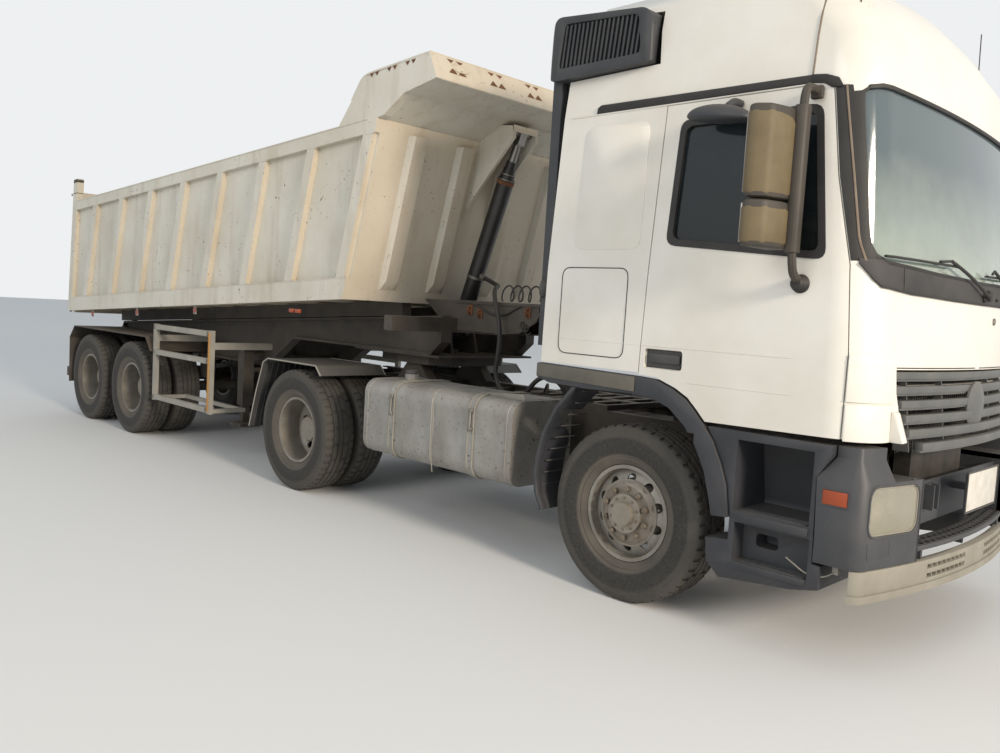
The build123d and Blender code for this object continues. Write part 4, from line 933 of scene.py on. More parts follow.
intake = plan_form("intake", rounded([(-775, -1245), (25, -1245), (-70, -985), (-775, -985)], 60, 7), 3100, 3600)
common(intake, side_form("outline", rounded([(-772, 3158), (36, 3178), (-12, 3488), (-738, 3554)], 70, 7), -1400, -900))
slat_field = rounded([(-690, 3232), (-58, 3236), (-90, 3462), (-650, 3500)], 34)
cut(intake, side_form("field", slat_field, -1300, -1222))
intake_bits = [eased(intake, 6, 50), box_form((-755, -682), (-1200, -1010), (1500, 3200))]
for i in range(19):
    x = -668 + i * 33
    lean = 26
    slat = side_form("slat", [(x, 3236), (x + 13, 3236), (x + 13 + lean, 3490 - i * 1.6), (x + lean, 3490 - i * 1.6)],
                     -1240, -1224)
    intake_bits.append(common(slat, side_form("field", slat_field, -1300, -1200)))
finished(joined("air_intake", intake_bits), "intake_plastic", "cab", 30)
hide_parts("snorkel")
print("Roof and intake made")

# %% [markdown]
# ## Grille, arches, steps, bumper and valance
# The grille has six slats that step forward as they go down, with upright ribs behind them. The bumper is a set of
# corner modules with a sloping shoulder round a recessed middle. The valance under it has louvred slots and carries
# a perforated tread.

# %% Grille slats
def bow_drop(y, radius):
    """How far a bowed front has gone back at a distance from the middle."""
    return radius - math.sqrt(radius ** 2 - y ** 2)


def bowed_band(name, front, radius, half, depth, z0, z1):
    """A band that follows a bowed front across the lorry."""
    sweep = steps_between(-half, half, 21)
    outer = [(front - bow_drop(y, radius), y) for y in sweep]
    return eased(plan_form(name, outer + [(x - depth, y) for x, y in reversed(outer)], z0, z1), 3)


GRILLE_BOW = 5500.0
slats = []
for i, half in enumerate((944, 944, 905, 880, 860, 742)):
    top = 1524 - i * 72
    slats.append(bowed_band("slat", 1500 + i * 13, GRILLE_BOW, half, 45, top - 38, top))
    slats.append(bowed_band("slat", 1490 + i * 13, GRILLE_BOW, half, 35, top - 50, top - 36))
for y in (-790, -400, 400, 790):
    drop = bow_drop(y, GRILLE_BOW)
    slats.append(side_form("rib", [(1440 - drop, 1116), (1520 - drop, 1116), (1470 - drop, 1520), (1440 - drop, 1520)],
                           y - 6, y + 6))
finished(joined("grille_slats", slats), "moulded_grey_grille", "cab", 30)
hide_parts("grille")
print("Grille pieces:", len(slats))

# %% Wheel arches and steps
arch_outer = [(-704, 1392), (82, 1377), (208, 1370), (322, 1330), (416, 1279), (474, 1224), (531, 1163), (602, 1079),
              (664, 959), (704, 851), (731, 681)]
arch_inner = [(630, 671), (609, 756), (565, 903), (501, 1025), (420, 1130), (310, 1219), (192, 1261), (43, 1272),
              (-284, 1262)]
leg_inner = [(-375, 1261), (-516, 1108), (-606, 938), (-646, 790), (-661, 682), (-644, 550), (-588, 450)]
leg_outer = [(-610, 443), (-668, 547), (-685, 682), (-670, 795), (-628, 948), (-535, 1123), (-407, 1263)]
liner = arch_inner + leg_inner
liner_back = []
for x, z in reversed(liner):
    reach = math.hypot(x, z - 600)
    liner_back.append((x * (1 + 14 / reach), 600 + (z - 600) * (1 + 14 / reach)))
STEER_SWEEP = 642.0


def steered_space(side, low, high):
    """The round space that the steered wheel needs."""
    turn = [i * math.pi / 36 for i in range(72)]
    return plan_form("space", [(STEER_SWEEP * math.cos(t), side * 835 + STEER_SWEEP * math.sin(t)) for t in turn], low,
                     high)


step_edge = [(600, 545), (612, 420), (695, 345), (1110, 388), (1250, 420), (1250, 540), (1207, 545), (1195, 980),
             (1262, 1098), (1262, 1150), (560, 1150), (606, 1081), (668, 961), (708, 853), (735, 683), (735, 560)]
arches, steps = [], []
for tag, side in (("l", 1), ("r", -1)):
    band = eased(side_form("band", arch_outer + arch_inner + [(-600, 1270), (-704, 1300)], side * 1200, side * 1250), 6)
    leg = eased(side_form("leg", leg_inner + leg_outer, side * 1200, side * 1250), 5)
    sheet = side_form("liner", liner + liner_back, side * 980, side * 1201)
    arches += [cut(piece, steered_space(side, 300, 1100)) for piece in (band, leg, sheet)]
    form = side_form("form", step_edge, side * 860, side * 1235)
    cut(form, front_form("upper", [(side * 1300, 725), (side * 885, 725), (side * 885, 760), (side * 950, 1105),
                                   (side * 1300, 1105)], 750, 1175),
        front_form("lower", [(side * 1300, 455), (side * 1115, 455), (side * 1125, 665), (side * 1300, 665)], 765, 1185),
        side_form("opening", rounded([(842, 532), (968, 532), (968, 604), (842, 604)], 22), side * 1000, side * 1130),
        steered_space(side, 300, 1160))
    steps += [eased(form, 7), block("nosing", (780, side * 1243, 672), (1175, side * 1228, 716), 6)]
    steps.append(block("nosing", (772, side * 1243, 418), (1180, side * 1228, 455), 6))
finished(joined("wheel_arches", arches), "moulded_dark_blue_plastic", "root", 28)
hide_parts("front_arches")
finished(joined("entry_step_boxes", steps), "moulded_dark_blue_plastic", "root", 28)
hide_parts("entry_steps")
strips = [eased(side_form("strip", [(-702, 1306), (66, 1286), (66, 1373), (-702, 1388)], side * 1250, side * 1256), 2)
          for side in (1, -1)]
finished(joined("sill_strips", strips), "sun_worn_strip", "root", 28)
print("Arches and steps made")

# %% Bumper, headlamp lenses and valance
def bumper_ring(inset, z):
    return section(z, 1100, 1600 - inset, 1245 - inset, 149, 79 - inset)


def bumper_form(inset, low, high):
    return lofted("bumper_form", [bumper_ring(inset, low), bumper_ring(inset, high)])


lamp_edge = [(785, 722), (1185, 722), (1185, 968), (785, 968)]
bumper = lofted("bumper_corners", [bumper_ring(0, 560), bumper_ring(0, 985), bumper_ring(55, 1090),
                                   bumper_ring(55, 1150)])
rear_cut = [(1000, 500), (1215, 500), (1213, 700), (1201, 985), (1272, 1096), (1272, 1200), (1000, 1200)]
cut(bumper, bumper_form(45, 550, 955), box_form((1000, 1700), (-750, 750), (500, 1200)),
    box_form((1000, 1700), (-1000, 1000), (986, 1200)), side_form("rear", rear_cut, -1400, 1400))
lenses, extras = [], []
for side in (1, -1):
    cut(bumper, front_form("lamp", rounded([(side * y, z) for y, z in lamp_edge], 60), 1250, 1700))
    lens = bumper_form(5, 600, 980)
    cut(lens, bumper_form(12, 590, 990))
    inner_edge = [(side * y, z) for y, z in ((788, 725), (1182, 725), (1182, 965), (788, 965))]
    lenses.append(common(lens, front_form("lens", rounded(inner_edge, 57), 1250, 1700)))
    cheek = common(bumper_form(0, 560, 985), box_form((1205, 1700), (side * 750, side * 766), (500, 1200)))
    extras += [cheek, box_form((1230, 1441), (side * 500, side * 540), (800, 900))]
extras += [box_form((1440, 1452), (-751, 751), (700, 935)), box_form((1451, 1589), (-30, 30), (850, 885))]
extras += [box_form((1451, 1502), (y, y + 14), (780, 915)) for y in (-470, -394)]
extras += [box_form((1451, 1462), (-470, -380), (780, 915)), box_form((1588, 1600), (-260, 260), (762, 978))]
finished(joined("bumper_body", [eased(bumper, 6)] + extras), "moulded_dark_grey_plastic", "root", 28)
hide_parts("bumper")
finished(joined("headlamp_lenses", lenses), "headlamp_lens", "root", 28)
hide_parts("headlamps")

valance = bumper_form(-3, 400, 556)
cut(valance, bumper_form(42, 390, 566))
lip = bumper_form(-13, 400, 438)
cut(lip, bumper_form(-1, 390, 448))
cut(valance, box_form((1000, 1398), (-1400, 1400), (300, 700)))
cut(lip, box_form((1000, 1398), (-1400, 1400), (300, 700)))
for side in (1, -1):
    for z in (458, 506):
        cut(valance, box_form((1450, 1700), (side * 170, side * 640), (z, z + 24)))
finished(joined("valance_skirt", [eased(valance, 4), lip]), "sun_bleached_valance", "root", 28)
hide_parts("lower_valance")
tread = bowed_band("tread_plate", 1585, 4637, 735, 125, 604, 630)
holes = []
for i in range(22):
    y = -693 + i * 66
    for row in range(2):
        x = 1480 - bow_drop(y, 4637) + row * 50
        holes.append(plan_form("hole", rounded([(x, y - 22), (x + 34, y - 22), (x + 34, y + 22), (x, y + 22)], 12, 3), 590,
                               650))
cut(tread, joined("holes", holes))
stays = [box_form((1470, 1530), (y - 12, y + 12), (540, 608)) for y in (-660, 0, 660)]
finished(joined("valance_tread", [tread] + stays), "moulded_dark_grey_plastic", "root", 28)
print("Bumper and valance made")
# %% [markdown]
# ## Following the cab's skin
# Seals, cowl, trims and wipers lie on the cab, so they need to know where its surface is. Two functions give a point
# on it: one from its distance to the middle, for the front, and one from its place along the cab, for the corners.

# %% Where the cab's surface is
def row_at(rows, z):
    """The numbers of a row of plan outlines at a height, between the two rows around it."""
    for low, high in zip(rows, rows[1:]):
        if z <= high[0] or high is rows[-1]:
            share = (z - low[0]) / (high[0] - low[0])
            return [a + (b - a) * share for a, b in zip(low[1:], high[1:])]


def skin(y, z, out=0.0):
    """A point on the cab's front or corner at a distance from the middle and a height, moved out by some mm."""
    rear, front, half, bow = row_at(cab_rows, z)
    edge = half - CORNER
    radius = (edge ** 2 + bow ** 2) / (2 * bow)
    reach = min(abs(y), half)
    if reach <= edge:
        x = front - radius + math.sqrt(radius ** 2 - reach ** 2)
        normal = Vector((radius - (front - x), reach, 0)).normalized()
    else:
        lean = math.asin(min((reach - edge) / CORNER, 1.0))
        x = front - bow - CORNER + CORNER * math.cos(lean)
        normal = Vector((math.cos(lean), math.sin(lean), 0))
    return (x + normal.x * out, math.copysign(reach + normal.y * out, y), z)


def skin_at(x, z, side, out=0.0, rows=None):
    """A point on the side or corner of the cab, or of the roof, at a place along it and a height."""
    numbers = row_at(rows or cab_rows, z)
    rear, front, half, bow = numbers[:4]
    corner = numbers[4] if len(numbers) > 4 else CORNER
    lean = math.asin(min(max((x - (front - bow - corner)) / corner, 0.0), 1.0))
    reach = half - corner + (corner + out) * math.cos(lean)
    return (x + out * math.sin(lean), side * reach, z)


def side_y(z):
    """Half width of the cab's side at a height."""
    return row_at(cab_rows, z)[2]


def between(table, key):
    """A value read off a table of (key, value) rows, straight between them."""
    for (k0, v0), (k1, v1) in zip(table, table[1:]):
        if key <= k1:
            return v0 + (v1 - v0) * max(key - k0, 0) / (k1 - k0)
    return table[-1][1]


def strip(name, low_line, high_line, thickness, finish, slot, body):
    """A band between two lines of points on the cab's skin, given a thickness inward and soft edges."""
    count = len(low_line)
    faces = [(i, i + 1, count + i + 1, count + i) for i in range(count - 1)]
    mesh = bpy.data.meshes.new(name)
    mesh.from_pydata([at(*p) for p in low_line + high_line], [], faces)
    piece = bpy.data.objects.new(name, mesh)
    bpy.context.scene.collection.objects.link(piece)
    outward(piece)
    middle = at(300, 0, 2400)
    if sum(face.normal.dot(face.center - middle) for face in piece.data.polygons) < 0:
        piece.data.flip_normals()
    wall = piece.modifiers.new("wall", "SOLIDIFY")
    wall.thickness = thickness / 1000
    wall.offset = -1.0
    bpy.ops.object.modifier_apply(modifier="wall")
    return finished(eased(piece, min(4, thickness / 3), 50), finish, body)


print("Front of the cab at half height:", [round(v) for v in skin(0, 1500)])

# %% [markdown]
# ## Windscreen surround, cowl and wipers
# A black band runs down each pillar beside the door, then a thin worn line of trim, then the black seal of the
# glass. A dark plastic cowl runs round the front under it and turns up at both ends. Two wipers stand on spindles in
# the cowl; each has an arm in two parts and a thin blade with a rubber lip.

# %% Pillar bands, windscreen trim and cowl
door_front = ((1600, 1292), (2031, 1262), (2460, 1168), (2918, 1100))
trim_rear = ((2049, 1318), (2152, 1281), (2459, 1230), (2898, 1154))
trim_front = ((2052, 1382), (2110, 1342), (2178, 1322), (2489, 1282), (2800, 1240), (2870, 1234), (2902, 1262))
heights = steps_between(2052, 2902, 22)
for tag, side in (("l", 1), ("r", -1)):
    strip(f"pillar_band_{tag}", [skin_at(between(door_front, z) + 6, z, side, 3) for z in heights],
          [skin_at(between(trim_rear, z), z, side, 3) for z in heights], 8, "rubber_seal", "dark_plastic", "cab")
    strip(f"pillar_trim_{tag}", [skin_at(between(trim_rear, z), z, side, 7) for z in heights],
          [skin_at(between(trim_rear, z) + 10, z, side, 7) for z in heights], 8, "worn_brown_trim", "dark_plastic", "cab")
    strip(f"pillar_seal_{tag}", [skin_at(between(trim_rear, z) + 9, z, side, 5) for z in heights],
          [skin_at(between(trim_front, z), z, side, 5) for z in heights], 14, "rubber_seal", "dark_plastic", "cab")
    bend = [(984, 2926), (1050, 2920), (1094, 2892), (1152, 2892), (1124, 2938), (1060, 2962), (984, 2970)]
    corner = plate(f"pillar_bend_{tag}", [(x, side * 1216, z) for x, z in bend], (0, side * 8, 0), 3)
    finished(corner, "rubber_seal", "cab")
screen_low = ((0, 2016), (590, 2026), (1090, 2052), (1150, 2085), (1174, 2150))
screen_high = ((0, 2904), (1110, 2904), (1150, 2892), (1174, 2860))
sweep = steps_between(-1150, 1150, 41)
strip("windscreen_seal_low", [skin(y, between(screen_low, abs(y)) - 10, 5) for y in sweep],
      [skin(y, between(screen_low, abs(y)) + 12, 5) for y in sweep], 14, "rubber_seal", "dark_plastic", "cab")
strip("windscreen_seal_high", [skin(y, between(screen_high, abs(y)) - 12, 5) for y in sweep],
      [skin(y, between(screen_high, abs(y)) + 10, 5) for y in sweep], 14, "rubber_seal", "dark_plastic", "cab")
cowl_low = ((0, 1898), (414, 1900), (888, 1911), (1131, 1932), (1180, 1982), (1206, 2040))
cowl_sweep = steps_between(-1206, 1206, 61)
cowl_top = [max(between(screen_low, min(abs(y), 1130)) - 8, between(cowl_low, abs(y)) + 8) for y in cowl_sweep]
strip("windscreen_cowl", [skin(y, between(cowl_low, abs(y)), 9) for y in cowl_sweep],
      [skin(y, z, 9) for y, z in zip(cowl_sweep, cowl_top)], 12, "windscreen_cowl_plastic", "dark_plastic", "cab")
lip = rod("cowl_lip", [skin(y, between(cowl_low, abs(y)) + 3, 10) for y in cowl_sweep], 5)
finished(lip, "rubber_seal", "cab")
for y in (-960, 960):
    seam = rod(f"cowl_seam_{'l' if y > 0 else 'r'}", [skin(y, z, 9) for z in (1916, 1975, 2036)], 2.5)
    finished(seam, "rubber_seal", "cab")

# %% Wipers
wipers = (
    # name, spindle, elbow, blade from, blade to, as (y, z)
    ("wiper_r", (9, 1940), (-526, 2104), (-1120, 2082), (-420, 2082)),
    ("wiper_l", (560, 1945), (120, 2096), (10, 2060), (1000, 2086)),
)
for name, foot, elbow, start, end in wipers:
    spindle = turned_piece("spindle", [(2, 0), (26, 0), (26, 10), (16, 20), (15, 38), (2, 40)], skin(*foot, 8), 20,
                           (1, 0, 0))
    arm = rod("arm", [skin(*foot, 38), skin((foot[0] + elbow[0]) / 2, (foot[1] + elbow[1]) / 2 + 14, 46),
                      skin(*elbow, 36)], 9, True)
    grip = rod("grip", [skin(*elbow, 36), skin(elbow[0] * 0.8 + start[0] * 0.2, (elbow[1] + start[1]) / 2, 30)], 7)
    line = list(zip(steps_between(start[0], end[0], 12), steps_between(start[1], end[1], 12)))
    blade = rod("blade", [skin(y, z, 24) for y, z in line], 7)
    rubber = rod("rubber", [skin(y, z, 13) for y, z in line], 4)
    finished(joined(name, [spindle, arm, grip, blade, rubber]), "rubber_seal", "cab")
housing = block("wiper_housing", (1490, 60, 1925), (1526, 130, 1985), 8)
nozzle = block("washer_nozzles", (1494, 250, 1930), (1516, 290, 1946), 5)
finished(joined("wiper_motor_covers", [housing, nozzle]), "rubber_seal", "cab")
print("Windscreen dressed, with", len(wipers), "wipers")

# %% [markdown]
# ## Grille and front panels
# Behind the slats stands the cooler with a dark net in front of it. The front panel over the grille has a lock, and
# a plain round boss stands in the grille's middle.

# %% Grille net, boss and lock
def net(name, low, high, pitch, wire):
    """A grid of thin wires across Y and Z at one X."""
    x = low[0]
    wires = []
    y = low[1] + pitch / 2
    while y < high[1]:
        wires.append(rod("wire", [(x, y, low[2]), (x, y, high[2])], wire, sides=0))
        y += pitch
    z = low[2] + pitch / 2
    while z < high[2]:
        wires.append(rod("wire", [(x, low[1], z), (x, high[1], z)], wire, sides=0))
        z += pitch
    return joined(name, wires)


finished(net("grille_net", (1392, -800, 1100), (1392, 800, 1520), 34, 3), "moulded_black_plastic",
         "cab", 0)
boss = turned_piece("front_boss", [(2, 0), (60, 0), (128, 2), (140, 8), (140, 20), (122, 30), (60, 36), (2, 38)],
                    (1505, 0, 1330), 56, (1, 0, 0))
finished(boss, "moulded_grey_grille", "cab")
lock = turned_piece("front_panel_lock", [(2, 9), (9, 9), (12, 6), (20, 8), (22, 0)], skin(274, 1812, -1), 24,
                    (1, 0, 0))
finished(lock, "zinc_plated_steel", "cab")
for tag, side in (("l", 1), ("r", -1)):
    line = [skin(side * y, 1545, 0.5) for y in steps_between(40, 1010, 16)]
    seam = rod(f"front_panel_seam_{tag}", line, 3)
    finished(seam, "rubber_seal", "cab")
print("Grille backed by a net of 34 mm")

# %% [markdown]
# ## Bumper, lamps and step treads
# Each headlamp is a clear ribbed lens over two turned reflectors, a large and a small one, in a dark box with a
# trim round it. Amber side lamps sit in the bumper's flanks. The steps have pressed ribs that keep a boot from
# slipping, and one wire hangs loose where a lamp was lost.

# %% Headlamps
for tag, side in (("l", 1), ("r", -1)):
    middle = side * 985
    back = plate("lamp_back", [(1372, middle - 190, 735), (1372, middle + 190, 735), (1372, middle + 190, 955),
                               (1372, middle - 190, 955)], (4, 0, 0))
    walls = [block("lamp_wall", (1374, middle - 196, z), (1450, middle + 196, z + 5), 1) for z in (728, 955)]
    finished(joined(f"headlamp_box_{tag}", [back] + walls), "moulded_black_plastic", "root")
    bowls = []
    for y, z, wide in ((middle + side * 70, 845, 95), (middle - side * 100, 870, 62)):
        bowl = turned_piece("bowl", [(wide, 52), (wide * 0.92, 34), (wide * 0.7, 14), (wide * 0.35, 3), (3, 0),
                                     (3, -3), (wide * 0.72, 10), (wide * 0.96, 32), (wide + 3, 52), (wide, 52)],
                            (1378, y, z), 40, (1, 0, 0))
        bulb = turned_piece("bulb", [(2, 34), (8, 30), (10, 20), (9, 4), (2, 2)], (1378, y, z), 16, (1, 0, 0))
        bowls += [bowl, bulb]
    finished(joined(f"headlamp_bowls_{tag}", bowls), "chromed_rod", "root")


def bumper_front(y, out=0.0):
    """Where the bumper's face is at a distance from the middle."""
    reach = abs(y)
    if reach <= 1166:
        return 1600 - (4599 - math.sqrt(4599 ** 2 - reach ** 2)) + out
    return 1372 + math.sqrt(max(79 ** 2 - (reach - 1166) ** 2, 0)) + out


def ring_outline(middle, half_wide, z0, z1, corner, count=5):
    """A closed rounded outline of (y, z) points."""
    points = []
    for cy, cz, first in ((middle + half_wide - corner, z1 - corner, 0), (middle - half_wide + corner, z1 - corner, 90),
                          (middle - half_wide + corner, z0 + corner, 180),
                          (middle + half_wide - corner, z0 + corner, 270)):
        for i in range(count):
            turn = math.radians(first + 90 * i / (count - 1))
            points.append((cy + corner * math.cos(turn), cz + corner * math.sin(turn)))
    return points


for tag, side in (("l", 1), ("r", -1)):
    trim = ring_outline(side * 985, 204, 718, 972, 64)
    trim.append(trim[0])
    rim = rod(f"headlamp_trim_{tag}", [(bumper_front(y, 1), y, z) for y, z in trim], 6)
    finished(rim, "moulded_dark_grey_plastic", "root")
    small = ring_outline(side * 985, 196, 728, 962, 56)
    small.append(small[0])
    seal = rod(f"headlamp_seal_{tag}", [(bumper_front(y, -3), y, z) for y, z in small], 4)
    finished(seal, "sun_bleached_valance", "root")
    fog = ring_outline(side * 1090, 85, 606, 700, 18, 4)
    fog.append(fog[0])
    outline = rod(f"fog_lamp_outline_{tag}", [(bumper_front(y, 0), y, z) for y, z in fog], 3)
    finished(outline, "moulded_dark_grey_plastic", "root")
    amber = block("amber", (1238, side * 1242, 862), (1364, side * 1250, 933), 3)
    finished(joined(f"side_lamp_{tag}", [amber]), "amber_lens", "root")
    frame_rod = [(1234, side * 1247, 858), (1368, side * 1247, 858), (1368, side * 1247, 937),
                 (1234, side * 1247, 937), (1234, side * 1247, 858)]
    finished(rod(f"side_lamp_frame_{tag}", frame_rod, 4), "moulded_dark_grey_plastic", "root")
    for z in (974, 998):
        dot = turned_piece("screw", [(1, 5), (9, 4), (10, 0)], (bumper_front(820, -1) - (z - 974) * 0.4, side * 820, z - 12),
                           12, (1, 0, 0))
        finished(dot, "moulded_black_plastic", "root").name = f"bumper_screw_{tag}_{z}"
print("Lamps in the bumper done")

# %% Step treads, valance fins and the loose wire
for tag, side in (("l", 1), ("r", -1)):
    ribs = []
    for z, y0, x0, x1 in ((718, 1236, 770, 1168), (448, 1236, 790, 1180)):
        for i in range(4):
            y = side * (y0 - 18 - i * 26)
            ribs.append(block("rib", (x0 + 12, y - 6, z), (x1 - 12, y + 6, z + 12), 3))
        for i in range(7):
            x = x0 + 30 + i * (x1 - x0 - 60) / 6
            ribs.append(block("rib", (x - 5, side * (y0 - 104), z), (x + 5, side * (y0 - 14), z + 10), 2))
    finished(joined(f"step_treads_{tag}", ribs), "moulded_dark_grey_plastic", "root")
    clip = block(f"valance_hanger_{tag}", (1290, side * 1150, 505), (1322, side * 1182, 562), 4)
    finished(clip, "weathered_guard_paint", "root")
fins = []
for side in (1, -1):
    for i in range(9):
        y = side * (185 + i * 55)
        x = bumper_front(y, 3)
        fins.append(block("fin", (x - 34, y - 4, 455), (x - 6, y + 4, 532), 2))
finished(joined("valance_fins", fins), "sun_bleached_valance", "root")
wire = rod("loose_wire", [(1060, -1212, 540), (1110, -1222, 520), (1165, -1228, 492), (1235, -1218, 478),
                          (1300, -1190, 505), (1318, -1160, 548)], 4, True)
finished(wire, "sun_bleached_valance", "root")
border = [(1602, y, z) for y, z in ((-264, 758), (264, 758), (264, 982), (-264, 982), (-264, 758))]
plate_border = rod("number_plate_border", border, 5)
finished(plate_border, "moulded_black_plastic", "root")
blank = block("number_plate_blank", (1598, -256, 766), (1604, 256, 974), 2)
finished(blank, "white_marker_plastic", "root")
print("Steps, valance and the blank plate done")

# %% [markdown]
# ## Doors, mirrors and windows
# The window sits in a rubber frame whose corners are round. The handle is a black flap in a black recess. Each mirror
# is two tan shells, a large and a small one, on a black bow-shaped arm, with the glass facing the rear.

# %% Window seals, handles and door trims
def side_ring(name, outer, inner, side, out, thickness):
    """A flat frame between two outlines of equal count on the cab's side."""
    count = len(outer)
    points = [at(x, side * (side_y(z) + out), z) for x, z in outer + inner]
    faces = [(i, (i + 1) % count, count + (i + 1) % count, count + i) for i in range(count)]
    mesh = bpy.data.meshes.new(name)
    mesh.from_pydata(points, [], faces)
    piece = bpy.data.objects.new(name, mesh)
    bpy.context.scene.collection.objects.link(piece)
    if sum(face.normal.y for face in mesh.polygons) * side < 0:
        mesh.flip_normals()
    alone(piece)
    wall = piece.modifiers.new("wall", "SOLIDIFY")
    wall.thickness = thickness / 1000
    wall.offset = -1.0
    bpy.ops.object.modifier_apply(modifier="wall")
    return piece


for tag, side in (("l", 1), ("r", -1)):
    ring = side_ring(f"window_seal_{tag}", rounded(widened(window, 18), 62), rounded(widened(window, -20), 46), side, 4,
                     20)
    finished(ring, "rubber_seal", f"door_{tag}")
    cup = block("cup", (122, side * 1218, 1435), (371, side * 1224, 1541), 2)
    flap = block("flap", (146, side * 1222, 1466), (356, side * 1242, 1516), 7)
    key = turned_piece("key", [(1, 4), (8, 4), (11, 0)], (345, side * 1226, 1450), 14, (0, side, 0))
    finished(joined(f"door_handle_{tag}", [cup, flap, key]), "moulded_black_plastic", f"door_{tag}")
    post = rod(f"window_divider_{tag}", [(872, side * 1212, 2094), (836, side * 1196, 2800)], 9)
    finished(post, "rubber_seal", f"door_{tag}")
    creases = [rod("crease", [(92, side * 1247, 1560), (1000, side * 1247, 1560), skin_at(1284, 1560, side)], 3),
               rod("crease", [(420, side * 1243, 1372), (1000, side * 1243, 1372), skin_at(1284, 1372, side)], 3)]
    finished(joined(f"door_creases_{tag}", creases), "gloss_white_cab_paint", f"door_{tag}")
    lid_edge = rounded([(-540, 1470), (-35, 1470), (-35, 2000), (-540, 2000)], 60)
    lid = rod("lid", [(x, side * (side_y(z) + 0.5), z) for x, z in lid_edge + lid_edge[:1]], 3)
    finished(joined(f"locker_lid_seam_{tag}", [lid]), "rubber_seal", "cab")
    pressed = rounded([(-470, 2110), (30, 2110), (30, 2850), (-440, 2850)], 70)
    field = plate(f"pressed_field_{tag}", [(x, side * (side_y(z) - 3), z) for x, z in pressed], (0, side * 6, 0), 2)
    finished(field, "gloss_white_cab_paint", "cab")
print("Window seals, handles and panel lines done")

# %% Mirror shells, glasses and arms
shell_plan = [(870, 1326), (1009, 1326), (1014, 1440), (978, 1566), (908, 1606), (866, 1602)]
for tag, side in (("l", 1), ("r", -1)):
    shells, panels = [], []
    for low, high in ((2326, 2768), (2092, 2318)):
        shells.append(plate("shell", [(x, side * y, low) for x, y in shell_plan], (0, 0, high - low), 24))
        panel = plate("panel", [(x, side * y, low + 12) for x, y in widened(shell_plan, 3)], (0, 0, high - low - 40), 20)
        if low > 2300:
            cut(panel, front_form("curve", [(side * 1290, 2800), (side * 1290, 2560), (side * 1352, 2650),
                                            (side * 1440, 2712), (side * 1560, 2738), (side * 1650, 2742),
                                            (side * 1650, 2800)], 800, 1100))
        panels.append(panel)
    plan = rounded([(1004, 1340), (1062, 1340), (1066, 1392), (1048, 1412), (1004, 1412)], 14, 3)
    spine = plate("spine", [(x, side * y, 2078) for x, y in plan], (0, 0, 704), 8)
    arms = [rod("arm", [(1032, side * 1228, 2872), (1034, side * 1330, 2888), (1034, side * 1376, 2846),
                        (1034, side * 1378, 2770)], 22, True),
            rod("arm", [(1034, side * 1376, 2090), (1034, side * 1364, 2010), (1034, side * 1330, 1960),
                        (1032, side * 1262, 1940)], 22, True)]
    cover = block("cover", (1000, side * 1226, 2838), (1064, side * 1260, 2904), 12)
    finished(joined(f"mirror_shells_{tag}", shells + [spine, cover] + arms), "mirror_frame_plastic",
             f"door_{tag}")
    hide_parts(f"mirrors_{tag}")
    finished(joined(f"mirror_panels_{tag}", panels), "mirror_tan_panel", f"door_{tag}")
    panes = [block("glass", (856, side * 1336, low), (866, side * 1586, high), 3)
             for low, high in ((2352, 2738), (2112, 2300))]
    finished(joined(f"mirror_glasses_{tag}", panes), "chromed_rod", f"door_{tag}")
    rings = [(3, 0), (46, 0), (48, 12), (38, 24), (42, 34), (32, 46), (34, 56), (26, 66), (3, 68)]
    boot = turned_piece(f"mirror_boot_{tag}", rings, (1031, side * 1238, 1934), 24, (0, side, 0))
    finished(boot, "rubber_seal", f"door_{tag}")
    bpy.ops.object.select_all(action="DESELECT")
    bpy.ops.mesh.primitive_uv_sphere_add(segments=40, ring_count=20, radius=1, location=at(552, side * 1346, 2782))
    pod = bpy.context.object
    pod.name = f"kerb_mirror_{tag}"
    for vertex in pod.data.vertices:
        rise = 0.068 if vertex.co.z > 0 else 0.030
        vertex.co = (vertex.co.x * 0.19, vertex.co.y * 0.082, vertex.co.z * rise - 0.02 * vertex.co.x)
    stalk = rod("stalk", [(600, side * 1222, 2868), (596, side * 1290, 2880), (590, side * 1330, 2830)], 24, True)
    finished(joined(pod.name, [pod, stalk]), "moulded_dark_blue_plastic", f"door_{tag}", 50)
print("Mirrors done")

# %% [markdown]
# ## Roof, snorkel and aerials
# A dark gasket hides the joint between the cab and its high roof. The air intake behind it has a net inside its
# slots, which is not drawn. A low lamp, two whip aerials and the door's drip rail finish the top.

# %% Gasket, drip rails, seams, roof lamp and aerials
for tag, side in (("l", 1), ("r", -1)):
    gasket = plate(f"roof_gasket_{tag}", [(-372, side * 1213, 2926), (1000, side * 1213, 2928), (1000, side * 1213, 2968),
                                          (-340, side * 1213, 2976), (-366, side * 1213, 2962)], (0, side * 9, 0), 3)
    finished(gasket, "rubber_seal", "cab")
    rail = rod(f"drip_rail_{tag}", [(-560, side * 1216, 2922), (1000, side * 1216, 2922), (1090, side * 1206, 2912)], 5)
    finished(rail, "gloss_white_cab_paint", "cab")
    crease = rod(f"cab_side_seam_{tag}", [(-604, side * 1246, 1560), (76, side * 1246, 1560)], 3)
    finished(crease, "gloss_white_cab_paint", "cab")
    seam = [skin_at(985, z, side, 1, roof_rows) for z in (2972, 3060, 3160, 3260, 3370, 3450, 3530)]
    finished(rod(f"roof_seam_{tag}", seam, 5), "worn_brown_trim", "cab")
aerials = (
    # name, foot, lean, length
    ("aerial_r", (1120, -1040, 3170), (-0.02, 0.03, 1.0), 480), ("aerial_l", (1110, 840, 3190), (-0.06, 0.12, 1.0), 500),
)
for name, foot, lean, length in aerials:
    tip = tuple(f + d * length for f, d in zip(foot, lean))
    whip = rod("whip", [foot, tip], 3.5)
    base = turned_piece("base", [(2, -34), (26, -34), (28, -10), (16, 6), (8, 26), (2, 28)], foot, 20, (0, 0, 1))
    finished(joined(name, [whip, base]), "rubber_seal", "cab")
